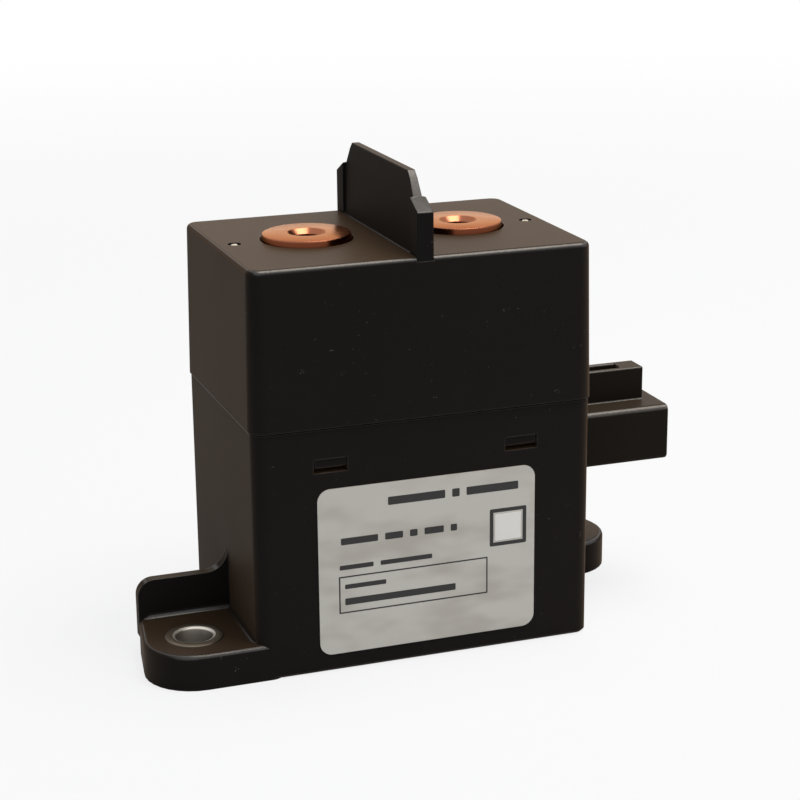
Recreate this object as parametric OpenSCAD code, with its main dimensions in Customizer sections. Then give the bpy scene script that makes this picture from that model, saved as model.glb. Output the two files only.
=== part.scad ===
// Sealed high voltage direct current contactor, a power switch with two main terminals.
// A moulded case with two diagonal feet holds the coil and its magnetic frame.
// A snap-on cover surrounds the brazed ceramic chamber that holds the main contacts.
// X runs along the width, Y from the front to the back and Z up from the mounting plane.
// The origin is the middle of the case's underside. All lengths are in millimetres.

/* [Housing] */
// Width of the cover at its flat top
cover_w = 62; // [54:0.5:72]
// Depth of the cover at its flat top, front to back
cover_d = 44; // [40:0.5:52]
// Distance from the magnetic frame's top edge up to the seam
seam_rise = 10.8; // [10:0.1:14]
// Draft of the cover's walls, in degrees
cover_draft_deg = 1; // [0.5:0.25:2]
// How far the cover's lower edge stands out from the case
seam_step = 0.3; // [0.1:0.1:0.6]
// Height of the shadow groove round the case under the cover
seam_groove_h = 0.3; // [0.2:0.1:0.5]
// Depth of the shadow groove
seam_groove_d = 0.6; // [0.4:0.1:0.8]
// Thickness of the moulded walls
wall = 2; // [1.6:0.1:2.2]
// Thickness of the case's floor
floor_t = 2.5; // [2:0.1:4]
// Thickness of the cover's top
roof_t = 2.4; // [1.8:0.1:3]
// Radius of the upright corners
corner_r = 2.4; // [1.5:0.1:4]
// Rounding of the cover's top edge and of the feet
edge_r = 0.9; // [0.4:0.1:1.2]

/* [Feet] */
// How far a foot reaches out from the case
foot_len = 18.3; // [16:0.1:22]
// Thickness of a foot
foot_t = 6.5; // [4:0.1:8]
// Radius of a foot's outer corner in plan, which the mounting hole shares its centre with
foot_corner_r = 9; // [8:0.1:10]
// Distance of the left foot's back edge from the middle plane between front and back
foot_back_y = 0.8; // [0.4:0.1:1.5]
// Thickness of the upright rib on a foot
rib_t = 2; // [1.5:0.1:2.5]
// Height of the upright rib's top edge above the mounting plane
rib_z = 13.8; // [12:0.1:18]
// Radius of the rib's sweep up to the case wall
rib_sweep_r = 4.2; // [3:0.1:6]
// Radius of the rib's outer corner
rib_corner_r = 3; // [2:0.1:4]
// Outer diameter of a steel bushing
bushing_d = 10.3; // [9.5:0.1:11]
// Bore of a steel bushing, for a clearance M6 screw
bushing_bore_d = 6.5; // [6.4:0.1:7]
// Chamfer at both mouths of a bushing
bushing_chamfer = 0.5; // [0.2:0.1:0.6]
// How far a bushing stands out of its foot
bushing_proud = 0.25; // [0.1:0.05:0.5]

/* [Snap latches] */
// Distance of a snap window's middle from the case's side
latch_inset = 13.6; // [11:0.1:15]
// Width of a snap window
window_w = 6.1; // [5:0.1:7]
// Height of a snap window
window_h = 2.5; // [2:0.1:3]
// Distance from the seam down to a window's top edge
window_drop = 5.5; // [5:0.1:6]
// Thickness of a latch tongue
tongue_t = 1.1; // [0.9:0.1:1.2]
// Thickness of the cover's inner lip
lip_t = 0.9; // [0.7:0.1:1.1]
// Depth to which the inner lip reaches into the case
lip_depth = 2; // [1.5:0.1:3]

/* [Arc barrier] */
// Height of the barrier's top edge above the cover's top
barrier_h = 13.7; // [12:0.1:16]
// Thickness of the barrier's plate at its foot
barrier_t = 2.3; // [2:0.1:2.8]
// Thickness of the plate at its top edge
barrier_tip_t = 1.5; // [1.2:0.1:2]
// Width of the posts that end the plate
post_w = 3; // [2.6:0.1:4]
// Depth of a post, front to back
post_d = 3.9; // [3:0.1:5]
// Height of a post's outer edge above the cover's top
post_h = 7.6; // [6:0.1:9]
// Rise of a post's sloping top
post_rise = 2; // [1:0.1:3]
// Depth of the groove that the barrier stands in
groove_depth = 0.8; // [0.5:0.1:1.2]

/* [Terminals] */
// How far each terminal stands inward from midway between the barrier and the cover's side
terminal_shift = 2; // [0:0.1:3]
// Diameter of a terminal's upper disc
terminal_d = 15.8; // [15:0.1:16.5]
// How far a terminal stands out of the cover
terminal_proud = 1.1; // [0.3:0.1:1.5]
// Height of a terminal's upper disc
terminal_disc_h = 7.7; // [7:0.1:9]
// Diameter of a terminal's neck through the ceramic
terminal_neck_d = 10; // [9:0.1:11]
// Diameter of the tapped hole before the thread, for M6
terminal_bore_d = 5; // [4.9:0.1:5.2]
// Depth of the tapped hole
terminal_bore_depth = 12; // [10:0.5:14]
// Diameter of the countersink at the hole's mouth
terminal_sink_d = 6.8; // [6.2:0.1:7.2]
// Gap round a terminal in the cover
terminal_gap = 0.45; // [0.3:0.05:0.7]
// Diameter of the two small blind holes in the cover's top
pip_d = 2.5; // [2:0.1:3]
// Distance of a small blind hole from the cover's side
pip_inset = 3.6; // [3:0.1:4]

/* [Connector] */
// Width of the connector's shroud, front to back
shroud_w = 16; // [15:0.1:17]
// Height of the connector's shroud
shroud_h = 10.7; // [10:0.1:12]
// Distance from the seam down to the latch guide's top
guide_drop = 1.5; // [0.5:0.1:3]
// How far the shroud reaches out from the case
shroud_len = 22.4; // [20:0.1:24]
// Wall of the shroud
shroud_wall = 1.3; // [1:0.1:1.5]
// Depth of the socket
socket_depth = 17; // [15:0.1:18]
// Width of the latch guide on top of the shroud
guide_w = 5; // [4.8:0.1:6]
// Height of the latch guide
guide_h = 6.3; // [5:0.1:7.5]
// How far the latch guide ends before the shroud's mouth
guide_setback = 2.8; // [2:0.1:4]
// Thickness of the latch guide's walls
guide_wall = 1.1; // [0.9:0.1:1.2]
// Length of the bar that closes the guide at its outer end
guide_bar_len = 4.3; // [3:0.1:6]
// Thickness of that bar
guide_bar_t = 1.8; // [1.2:0.1:2.4]
// Distance between the two coil pins
pin_pitch = 5; // [4:0.1:6]
// Width of a coil pin
pin_w = 1.5; // [1.2:0.1:2]
// Thickness of a coil pin
pin_t = 0.8; // [0.6:0.1:1]
// Length of a coil pin inside the socket
pin_reach = 10.5; // [9:0.1:12]

/* [Label] */
// Distance from the label's edge to the case's side
label_side = 11; // [8:0.1:14]
// Distance from the label's top edge to the snap windows
label_drop = 3; // [1:0.1:6]
// Height of the label's lower edge above the mounting plane
label_z = 3.2; // [2.8:0.1:4.5]
// Corner radius of the label
label_r = 2.3; // [1:0.1:3]
// Thickness of the label
label_t = 0.15; // [0.1:0.05:0.25]

/* [Magnetic frame] */
// Thickness of the U-shaped frame
frame_t = 2.5; // [2:0.1:2.6]
// Gap between the bobbin and the frame's upright sides
frame_side_gap = 1.7; // [0.5:0.1:2.5]
// Depth of the U-shaped frame
frame_d = 26; // [20:0.5:28]
// Height of the U-shaped frame
frame_h = 31.5; // [28:0.1:38]
// Gap between the top plate's ends and the case
plate_side_gap = 1.2; // [0.4:0.1:2]
// Gap between the top plate's long edges and the latch tongues
plate_edge_gap = 0.4; // [0.3:0.1:1]
// Thickness of the top plate
plate_t = 3; // [2.5:0.1:3.2]

/* [Coil] */
// Gap between the bobbin's flanges and the case's long walls
bobbin_side_gap = 2.2; // [1.5:0.1:3]
// Thickness of a bobbin flange
bobbin_flange_t = 1.2; // [1:0.1:1.6]
// Wall of the bobbin's tube
bobbin_wall = 0.8; // [0.7:0.1:1]
// How far the winding lies inside the flanges' rims
winding_inset = 0.8; // [0.4:0.1:2]
// Number of wire rows that show on the winding
winding_rows = 26; // [12:1:30]

/* [Plunger] */
// Thickness of the winding with its tube, from the bobbin's rim inward
coil_build = 6; // [5:0.1:8]
// Height of the moving core
core_h = 15.1; // [12:0.1:17]
// Travel of the plunger from open to closed
plunger_travel = 2.3; // [2.2:0.05:2.4]
// Gap that stays between the cores when closed
core_shim = 0.1; // [0.05:0.05:0.2]
// Running gap round the moving core
core_gap = 0.3; // [0.2:0.05:0.4]
// Wall of the sleeve round the cores
sleeve_wall = 0.5; // [0.4:0.1:0.6]
// Diameter of the push rod
rod_d = 4; // [3.6:0.1:4.4]
// Radial running clearance of the rod in the fixed core
rod_clearance = 0.06; // [0.03:0.01:0.09]
// Thickness of the rubber pad under the moving core
damper_t = 1.5; // [1:0.1:2]

/* [Contacts] */
// Gap between the open contacts
contact_gap = 1.8; // [1.7:0.05:1.9]
// How far the bridge's ends reach past the contact pads
bridge_end = 0.5; // [0.2:0.1:1]
// Width of the contact bridge
bridge_w = 9; // [8:0.1:11]
// Thickness of the contact bridge
bridge_t = 2.7; // [2.2:0.1:3]
// Height of the raised contact pads
contact_pad_h = 0.4; // [0.3:0.05:0.6]
// Diameter of the raised contact pads
contact_pad_d = 8; // [6:0.1:8.5]

/* [Ceramic chamber] */
// Gap between the ceramic chamber's ends and the cover
chamber_side_gap = 5; // [4.5:0.1:7]
// Gap between the ceramic chamber's long sides and the cover, for the magnets
chamber_front_gap = 6; // [5:0.1:8]
// Wall of the ceramic chamber
chamber_wall = 2.5; // [2:0.1:2.8]
// Height of the ceramic chamber
chamber_h = 22.5; // [20:0.1:28]
// Distance from the chamber's top up to the cover's flat top
chamber_head = 10.2; // [9.9:0.1:14]
// Corner radius of the chamber in plan
chamber_r = 7; // [5:0.1:9]
// Height of the thin metal skirt that joins chamber and plate
skirt_h = 3.2; // [2.5:0.1:4]
// Thickness of the metal skirt
skirt_t = 0.8; // [0.6:0.1:1]

/* [Blowout magnets] */
// Thickness of a blowout magnet
magnet_t = 2.5; // [2:0.1:2.7]
// How far a magnet's ends lie inside the chamber's
magnet_inset = 6; // [4:0.1:10]
// Height of a blowout magnet
magnet_h = 15; // [12:0.5:16]
// Thickness of the steel band round the magnets
band_t = 1; // [0.8:0.1:1.1]

/* [Hidden] */

// One overrun serves every cut
over = 1;
// Small gap between neighbours that are brazed, pressed or glued together
joint_gap = 0.05;
// Gap between curved faces that do not touch
free_gap = 0.3;
// Facets of a hull's rounded corners and of true circles
corner_fn = 32;
round_fn = 64;

// Housing, derived
frame_top_z = floor_t + frame_h;
plate_top_z = frame_top_z + plate_t;
chamber_low_z = plate_top_z + skirt_h;
chamber_top_z = chamber_low_z + chamber_h;
top_z = chamber_top_z + chamber_head;
seam_z = frame_top_z + seam_rise;
draft_run = (top_z - seam_z) * tan(cover_draft_deg);
case_w = cover_w + 2 * draft_run - 2 * seam_step;
case_d = cover_d + 2 * draft_run - 2 * seam_step;
case_in_w = case_w - 2 * wall;
case_in_d = case_d - 2 * wall;
inner_r = corner_r / 2;
cover_in_w = cover_w - 2 * wall;
cover_in_d = cover_d - 2 * wall;
roof_z = top_z - roof_t;
lip_rise = 2.5;
lip_gap = 0.15;
base_chamfer = 0.5;

// Snap latches, derived
latch_x = case_w / 2 - latch_inset;
window_top = seam_z - window_drop;
tongue_w = window_w - 2 * free_gap;
tongue_y = case_in_d / 2 - lip_gap - tongue_t;
tongue_low = window_top - window_h - tongue_t / 2;
hook_reach = wall - free_gap;
hook_gap = 0.1;

// Feet, derived
foot_out_x = case_w / 2 + foot_len;
foot_hole_x = foot_out_x - foot_corner_r;
foot_hole_y = case_d / 2 - foot_corner_r;
foot_edge_share = 0.25;
foot_small_r = foot_corner_r * foot_edge_share;

// Arc barrier, derived
barrier_top_z = top_z + barrier_h;
chamfer_run = 3.2;
chamfer_tip = 1.2;
tenon_len = 5;
tenon_t = 1.6;
tenon_y = 11;
tenon_h = 2;

// Label, derived
label_w = case_w - 2 * label_side;
label_h = window_top - window_h - label_drop - label_z;

// Terminals, derived
terminal_x = (cover_w / 2 + post_w / 2) / 2 - terminal_shift;
pip_x = cover_w / 2 - pip_inset;
terminal_top_z = top_z + terminal_proud;
terminal_low_z = terminal_top_z - terminal_disc_h;
terminal_chamfer = 0.35;
collar_wall = 0.8;
collar_foot = 1.2;
skirt_ring_wall = 1.2;
skirt_ring_drop = 3;
pip_depth = 1.4;

// Magnetic frame and chamber, derived
frame_low_z = floor_t;
bobbin_d = case_in_d - 2 * bobbin_side_gap;
winding_d = bobbin_d - 2 * winding_inset;
frame_w = bobbin_d + 2 * frame_side_gap + 2 * frame_t;
plate_w = case_in_w - 2 * plate_side_gap;
plate_d = 2 * (tongue_y - plate_edge_gap);
post_side = 4.4;
chamber_w = cover_in_w - 2 * chamber_side_gap;
chamber_d = cover_in_d - 2 * chamber_front_gap;
magnet_w = chamber_w - 2 * magnet_inset;
chamber_mid_w = chamber_w - chamber_wall;
chamber_mid_d = chamber_d - chamber_wall;
chamber_in_w = chamber_w - 2 * chamber_wall;
chamber_in_d = chamber_d - 2 * chamber_wall;
skirt_foot = 2.2;

// Plunger stack, derived from the coil inward
bush_t = 1.3;
bush_h = 8;
bobbin_tube_r = bobbin_d / 2 - coil_build;
bobbin_in_r = bobbin_tube_r - bobbin_wall;
bush_in_r = bobbin_in_r - free_gap - bush_t;
sleeve_out_r = bush_in_r - free_gap;
sleeve_in_r = sleeve_out_r - sleeve_wall;
core_r = sleeve_in_r - core_gap;
sleeve_low_z = frame_low_z + frame_t;
sleeve_rim = 1.8;
sleeve_flange_r = sleeve_out_r + sleeve_rim;
bobbin_top_z = frame_top_z - sleeve_wall - joint_gap;
damper_low_z = sleeve_low_z + sleeve_wall;
core_low_z = damper_low_z + damper_t;
core_top_z = core_low_z + core_h;
fixed_core_low_z = core_top_z + plunger_travel + core_shim;
fixed_core_r = sleeve_in_r - joint_gap;
fixed_rim = 1.2;
fixed_flange_r = fixed_core_r + fixed_rim;
fixed_flange_t = 1.2;
flange_top_z = plate_top_z + fixed_flange_t;
pocket_r = 4.5;
pocket_depth = 5;
rod_r = rod_d / 2;

// Contacts and springs, derived
contact_height_share = 0.524;
fixed_contact_z = chamber_low_z + contact_height_share * chamber_h;
bridge_len = 2 * terminal_x + contact_pad_d + 2 * bridge_end;
shield_t = 1.2;
shield_wall = 1;
shield_h = 6;
shield_gap = 0.3;
bridge_top_z = fixed_contact_z - contact_gap - contact_pad_h;
bridge_low_z = bridge_top_z - bridge_t;
clip_t = 0.9;
clip_r = 4.2;
rod_tip_h = 0.55;
rod_top_z = bridge_top_z + clip_t + rod_tip_h;
seat_t = 0.8;
seat_r = 5.2;
seat_z = flange_top_z + shield_t + seat_t;
return_wire_d = 0.8;
return_mean_r = 3.6;
return_turns = 6;
contact_wire_d = 1;
contact_mean_r = 4.2;
contact_turns = 4;

// Connector, derived
conn_x = case_w / 2;
shroud_z = seam_z - guide_drop - guide_h - shroud_h;
mouth_x = conn_x + shroud_len;
socket_x = mouth_x - socket_depth;
shroud_mid_z = shroud_z + shroud_h / 2;
shroud_r = 1.2;
tenon_shoulder = 1.5;
plug_in_x = plate_w / 2 + free_gap;
pin_tip_x = socket_x + pin_reach;
pin_tail_len = 3.4;
pin_tail_x = plug_in_x - pin_tail_len;
lead_d = 1;
lead_z = shroud_mid_z - pin_t / 2 - lead_d / 2;
key_w = 1.2;
key_h = 0.9;

// Circle of points for a helical wire's section, turned to lie across the wire
function ring_point(mean_r, wire_r, a, z, b) =
    [(mean_r + wire_r * cos(b)) * cos(a), (mean_r + wire_r * cos(b)) * sin(a), z + wire_r * sin(b)];

// Height share along a spring whose end turns lie flat
function rise_share(t, turns) =
    t <= 1 / turns ? 0 : (t >= 1 - 1 / turns ? 1 : (t - 1 / turns) / (1 - 2 / turns));

// Compression spring from low_z to high_z, with one flat turn at each end
module helical_spring(mean_r, wire_d, turns, low_z, high_z) {
    wire_r = wire_d / 2;
    sides = 8;
    rings = turns * 18;
    rise = high_z - low_z - 4 * wire_r;
    function centre_z(i) = low_z + wire_r + rise * rise_share(i / rings, turns)
        + 2 * wire_r * (i / rings);
    points = [for (i = [0:rings]) for (k = [0:sides - 1])
        ring_point(mean_r, wire_r, 360 * turns * i / rings, centre_z(i), 360 * k / sides)];
    side_faces = [for (i = [0:rings - 1]) for (k = [0:sides - 1])
        [i * sides + k, i * sides + (k + 1) % sides,
            (i + 1) * sides + (k + 1) % sides, (i + 1) * sides + k]];
    first_face = [for (k = [sides - 1:-1:0]) k];
    last_face = [for (k = [0:sides - 1]) rings * sides + k];
    polyhedron(points = points, faces = concat([first_face], side_faces, [last_face]));
}

// Rectangle with round corners, centred
module rounded_rect(w, d, r) {
    square([w - 2 * r, d], center = true);
    square([w, d - 2 * r], center = true);
    for (sx = [-1, 1], sy = [-1, 1])
        translate([sx * (w / 2 - r), sy * (d / 2 - r)])
            circle(r = r, $fn = round_fn);
}

// Upright prism of a rounded rectangle
module rounded_prism(w, d, r, low_z, high_z) {
    translate([0, 0, low_z])
        linear_extrude(height = high_z - low_z)
            rounded_rect(w, d, r);
}

// Round stud with a rounded top edge, wider at its foot by flare
module corner_stud(r, flare, h, round_top) {
    turns = 4;
    rotate_extrude($fn = corner_fn)
        polygon(concat([[0, 0], [r + flare, 0]],
            [for (i = [0:turns]) let (a = 90 * i / turns)
                [r - round_top + round_top * cos(a), h - round_top + round_top * sin(a)]],
            [[0, h]]));
}

// Ring between two radii
module tube_ring(outer_r, inner_r, low_z, high_z) {
    translate([0, 0, low_z])
        difference() {
            cylinder(r = outer_r, h = high_z - low_z, $fn = round_fn);
            translate([0, 0, -over])
                cylinder(r = inner_r, h = high_z - low_z + 2 * over, $fn = round_fn);
        }
}

// Outer form of the case: upright walls with a small chamfer round the base
module case_body() {
    hull() {
        rounded_prism(case_w, case_d, corner_r, base_chamfer, seam_z);
        rounded_prism(case_w - 2 * base_chamfer, case_d - 2 * base_chamfer, corner_r - base_chamfer,
            0, base_chamfer);
    }
}

// Plate of a foot on the left side, from its front edge to its back edge
module foot_plate(front_y, back_y) {
    hull() {
        translate([-foot_hole_x, front_y + foot_corner_r, 0])
            corner_stud(foot_corner_r, 0, foot_t, edge_r);
        translate([-foot_out_x + foot_small_r + rib_corner_r / 2, back_y - foot_small_r, 0])
            corner_stud(foot_small_r, 0, foot_t, edge_r);
        translate([-case_w / 2 + corner_r, front_y + corner_r, 0])
            corner_stud(corner_r, 0, foot_t, edge_r);
        translate([-case_w / 2 + corner_r, back_y - corner_r, 0])
            corner_stud(corner_r, 0, foot_t, edge_r);
    }
}

// Upright rib along the foot's back edge, swept up to the case wall
module foot_rib(back_y) {
    rib_out_x = foot_out_x - rib_corner_r / 2;
    rib_in_x = case_w / 2 - corner_r;
    translate([0, back_y, 0])
        rotate([90, 0, 0])
            linear_extrude(height = rib_t)
                difference() {
                    union() {
                        translate([-rib_out_x, foot_t / 2])
                            square([rib_out_x - rib_in_x, rib_z - rib_corner_r - foot_t / 2]);
                        translate([-rib_out_x + rib_corner_r, foot_t / 2])
                            square([rib_out_x - rib_corner_r - rib_in_x, rib_z - foot_t / 2]);
                        translate([-rib_out_x + rib_corner_r, rib_z - rib_corner_r])
                            circle(r = rib_corner_r, $fn = round_fn);
                        translate([-case_w / 2 - rib_sweep_r, rib_z / 2])
                            square([rib_sweep_r + corner_r, rib_z / 2 + rib_sweep_r]);
                    }
                    translate([-case_w / 2 - rib_sweep_r, rib_z + rib_sweep_r])
                        circle(r = rib_sweep_r, $fn = round_fn);
                }
}

module foot(front_y, back_y) {
    difference() {
        union() {
            foot_plate(front_y, back_y);
            foot_rib(back_y);
        }
        translate([-foot_hole_x, front_y + foot_corner_r, -over])
            cylinder(d = bushing_d + 2 * joint_gap, h = foot_t + 2 * over, $fn = round_fn);
    }
}

// Corner posts inside the case that carry the top plate
module plate_posts() {
    for (sx = [-1, 1], sy = [-1, 1])
        translate([sx * (case_in_w / 2 - post_side / 2 + wall / 4),
            sy * (case_in_d / 2 - post_side / 2 + wall / 4), floor_t - wall / 4])
            linear_extrude(height = frame_top_z - floor_t + wall / 4)
                square([post_side, post_side], center = true);
}

// Window in the front wall for a latch hook
module snap_window() {
    translate([latch_x - window_w / 2, -case_d / 2 - over, window_top - window_h])
        cube([window_w, wall + 2 * over, window_h]);
}

// Shadow groove round the top of the case
module seam_groove() {
    difference() {
        rounded_prism(case_w + 2 * over, case_d + 2 * over, corner_r, seam_z - seam_groove_h,
            seam_z + over);
        rounded_prism(case_w - 2 * seam_groove_d, case_d - 2 * seam_groove_d,
            corner_r - seam_groove_d, seam_z - seam_groove_h - over, seam_z + 2 * over);
    }
}

module lower_case() {
    color([0.055, 0.052, 0.05])
        union() {
            difference() {
                union() {
                    case_body();
                    foot(-case_d / 2, -foot_back_y);
                    mirror([1, 0, 0])
                        foot(case_d / 2 - 2 * foot_corner_r, case_d / 2);
                }
                rounded_prism(case_in_w, case_in_d, inner_r, floor_t, seam_z + over);
                seam_groove();
                for (turn = [0, 180])
                    rotate([0, 0, turn]) {
                        snap_window();
                        mirror([1, 0, 0])
                            snap_window();
                    }
                translate([case_in_w / 2 - over, -shroud_w / 2 + tenon_shoulder - joint_gap,
                    shroud_z + tenon_shoulder - joint_gap])
                    cube([wall + 2 * over, shroud_w - 2 * tenon_shoulder + 2 * joint_gap,
                        shroud_h - 2 * tenon_shoulder + 2 * joint_gap]);
            }
            plate_posts();
        }
}

// Latch tongue with its hook, behind the right front window
module latch_tongue() {
    hook_top = window_top - hook_gap;
    hook_low = window_top - window_h + hook_gap;
    translate([latch_x - tongue_w / 2, 0, 0])
        rotate([90, 0, 90])
            linear_extrude(height = tongue_w)
                polygon([
                    [-tongue_y, seam_z + lip_rise],
                    [-tongue_y, tongue_low],
                    [-tongue_y - tongue_t, tongue_low],
                    [-tongue_y - tongue_t, hook_low],
                    [-tongue_y - tongue_t - lip_gap - hook_reach, hook_low + hook_reach / 2],
                    [-tongue_y - tongue_t - lip_gap - hook_reach, hook_top],
                    [-tongue_y - tongue_t, hook_top],
                    [-tongue_y - tongue_t, seam_z + lip_rise]]);
}

module cover_shell() {
    hull()
        for (sx = [-1, 1], sy = [-1, 1])
            translate([sx * (cover_w / 2 - corner_r), sy * (cover_d / 2 - corner_r), seam_z])
                corner_stud(corner_r, draft_run, top_z - seam_z, edge_r);
}

// Groove for the arc barrier and the slots for its two tenons
module barrier_seat() {
    translate([-post_w / 2 - joint_gap, -cover_d / 2 - draft_run - over, top_z - groove_depth])
        cube([post_w + 2 * joint_gap, cover_d + 2 * draft_run + 2 * over, groove_depth + over]);
    for (sy = [-1, 1])
        translate([-tenon_t / 2 - joint_gap, sy * tenon_y - tenon_len / 2 - joint_gap, roof_z - over])
            cube([tenon_t + 2 * joint_gap, tenon_len + 2 * joint_gap, roof_t + over]);
}

module upper_cover() {
    lip_out_w = case_in_w - 2 * lip_gap;
    lip_out_d = case_in_d - 2 * lip_gap;
    color([0.06, 0.056, 0.053])
        difference() {
            union() {
                difference() {
                    union() {
                        cover_shell();
                        rounded_prism(lip_out_w, lip_out_d, inner_r, seam_z - lip_depth,
                            seam_z + lip_rise);
                    }
                    rounded_prism(cover_in_w, cover_in_d, inner_r, seam_z + lip_rise, roof_z);
                    rounded_prism(lip_out_w - 2 * lip_t, lip_out_d - 2 * lip_t, inner_r,
                        seam_z - lip_depth - over, seam_z + lip_rise + over);
                }
                for (turn = [0, 180])
                    rotate([0, 0, turn]) {
                        latch_tongue();
                        mirror([1, 0, 0])
                            latch_tongue();
                    }
                for (sx = [-1, 1])
                    translate([sx * terminal_x, 0, 0])
                        tube_ring(terminal_d / 2 + terminal_gap + skirt_ring_wall,
                            terminal_d / 2 + terminal_gap, roof_z - skirt_ring_drop, roof_z + roof_t / 2);
            }
            for (sx = [-1, 1]) {
                translate([sx * terminal_x, 0, roof_z - over])
                    cylinder(r = terminal_d / 2 + terminal_gap, h = roof_t + 2 * over, $fn = round_fn);
                translate([sx * pip_x, 0, top_z - pip_depth])
                    cylinder(d = pip_d, h = pip_depth + over, $fn = round_fn);
            }
            barrier_seat();
        }
}

// Wall between the terminals, with a post at each end and two tenons below
module arc_barrier() {
    half_d = cover_d / 2;
    seat_low = top_z - groove_depth;
    module side_outline() {
        polygon([
            [-half_d + post_d / 2, seat_low],
            [half_d - post_d / 2, seat_low],
            [half_d - post_d / 2, top_z + post_h],
            [half_d - post_d, top_z + post_h + post_rise],
            [half_d - post_d - chamfer_run + chamfer_tip, barrier_top_z - chamfer_tip],
            [half_d - post_d - chamfer_run, barrier_top_z],
            [-half_d + post_d + chamfer_run, barrier_top_z],
            [-half_d + post_d + chamfer_run - chamfer_tip, barrier_top_z - chamfer_tip],
            [-half_d + post_d, top_z + post_h + post_rise],
            [-half_d + post_d / 2, top_z + post_h]]);
    }
    module post() {
        translate([-post_w / 2, 0, 0])
            rotate([90, 0, 90])
                linear_extrude(height = post_w)
                    polygon([
                        [-half_d, seat_low],
                        [-half_d + post_d, seat_low],
                        [-half_d + post_d, top_z + post_h + post_rise],
                        [-half_d, top_z + post_h]]);
    }
    color([0.07, 0.065, 0.06])
        union() {
            intersection() {
                translate([-barrier_t / 2, 0, 0])
                    rotate([90, 0, 90])
                        linear_extrude(height = barrier_t)
                            side_outline();
                translate([0, half_d, 0])
                    rotate([90, 0, 0])
                        linear_extrude(height = cover_d)
                            polygon([
                                [-barrier_t / 2, seat_low],
                                [barrier_t / 2, seat_low],
                                [barrier_tip_t / 2, barrier_top_z],
                                [-barrier_tip_t / 2, barrier_top_z]]);
            }
            post();
            mirror([0, 1, 0])
                post();
            translate([-post_w / 2, -half_d + post_d / 2, seat_low])
                cube([post_w, cover_d - post_d, groove_depth]);
            for (sy = [-1, 1])
                translate([-tenon_t / 2, sy * tenon_y - tenon_len / 2, seat_low - tenon_h])
                    cube([tenon_t, tenon_len, tenon_h + groove_depth / 2]);
        }
}

module rating_label() {
    color([0.72, 0.72, 0.71])
        translate([0, -case_d / 2, label_z + label_h / 2])
            rotate([90, 0, 0])
                linear_extrude(height = label_t)
                    rounded_rect(label_w, label_h, label_r);
}

// Steel bushing with chamfered mouths
module foot_bushing() {
    high = foot_t + bushing_proud;
    color([0.7, 0.69, 0.67])
        translate([-foot_hole_x, -foot_hole_y, 0])
            rotate_extrude($fn = round_fn)
                polygon([
                    [bushing_bore_d / 2 + bushing_chamfer, 0],
                    [bushing_d / 2 - bushing_chamfer / 2, 0],
                    [bushing_d / 2, bushing_chamfer / 2],
                    [bushing_d / 2, high - bushing_chamfer / 2],
                    [bushing_d / 2 - bushing_chamfer / 2, high],
                    [bushing_bore_d / 2 + bushing_chamfer, high],
                    [bushing_bore_d / 2, high - bushing_chamfer],
                    [bushing_bore_d / 2, bushing_chamfer]]);
}

module foot_bushing_left() {
    foot_bushing();
}

module foot_bushing_right() {
    rotate([0, 0, 180])
        foot_bushing();
}

// Turned copper terminal with its tapped hole and the fixed contact at its lower end
module terminal(side) {
    sink = (terminal_sink_d - terminal_bore_d) / 2;
    color([0.82, 0.5, 0.33])
        translate([side * terminal_x, 0, 0])
            difference() {
                rotate_extrude($fn = round_fn)
                    polygon([
                        [0, fixed_contact_z],
                        [terminal_neck_d / 2 - terminal_chamfer, fixed_contact_z],
                        [terminal_neck_d / 2, fixed_contact_z + terminal_chamfer],
                        [terminal_neck_d / 2, terminal_low_z],
                        [terminal_d / 2, terminal_low_z],
                        [terminal_d / 2, terminal_top_z - terminal_chamfer],
                        [terminal_d / 2 - terminal_chamfer, terminal_top_z],
                        [0, terminal_top_z]]);
                translate([0, 0, terminal_top_z - terminal_bore_depth])
                    cylinder(d = terminal_bore_d, h = terminal_bore_depth + over, $fn = round_fn);
                translate([0, 0, terminal_top_z - sink])
                    cylinder(r1 = terminal_bore_d / 2, r2 = terminal_bore_d / 2 + 2 * sink, h = 2 * sink,
                        $fn = round_fn);
            }
}

module terminal_left() {
    terminal(-1);
}

module terminal_right() {
    terminal(1);
}

// Thin metal cup that joins a terminal to the ceramic
module terminal_collar(side) {
    neck_r = terminal_neck_d / 2 + joint_gap;
    skirt_r = neck_r + collar_wall;
    color([0.62, 0.6, 0.56])
        translate([side * terminal_x, 0, 0])
            rotate_extrude($fn = round_fn)
                polygon([
                    [neck_r, chamber_top_z],
                    [skirt_r + collar_foot, chamber_top_z],
                    [skirt_r + collar_foot, chamber_top_z + collar_wall],
                    [skirt_r, chamber_top_z + collar_wall],
                    [skirt_r, terminal_low_z - collar_wall],
                    [skirt_r + collar_foot / 2, terminal_low_z - collar_wall],
                    [skirt_r + collar_foot / 2, terminal_low_z],
                    [neck_r, terminal_low_z]]);
}

module terminal_collar_left() {
    terminal_collar(-1);
}

module terminal_collar_right() {
    terminal_collar(1);
}

module ceramic_chamber() {
    color([0.93, 0.91, 0.87])
        difference() {
            rounded_prism(chamber_w, chamber_d, chamber_r, chamber_low_z, chamber_top_z);
            rounded_prism(chamber_in_w, chamber_in_d, chamber_r - chamber_wall, chamber_low_z - over,
                chamber_top_z - chamber_wall);
            for (sx = [-1, 1])
                translate([sx * terminal_x, 0, chamber_low_z])
                    cylinder(r = terminal_neck_d / 2 + free_gap, h = chamber_top_z - chamber_low_z + over,
                        $fn = round_fn);
        }
}

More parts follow.
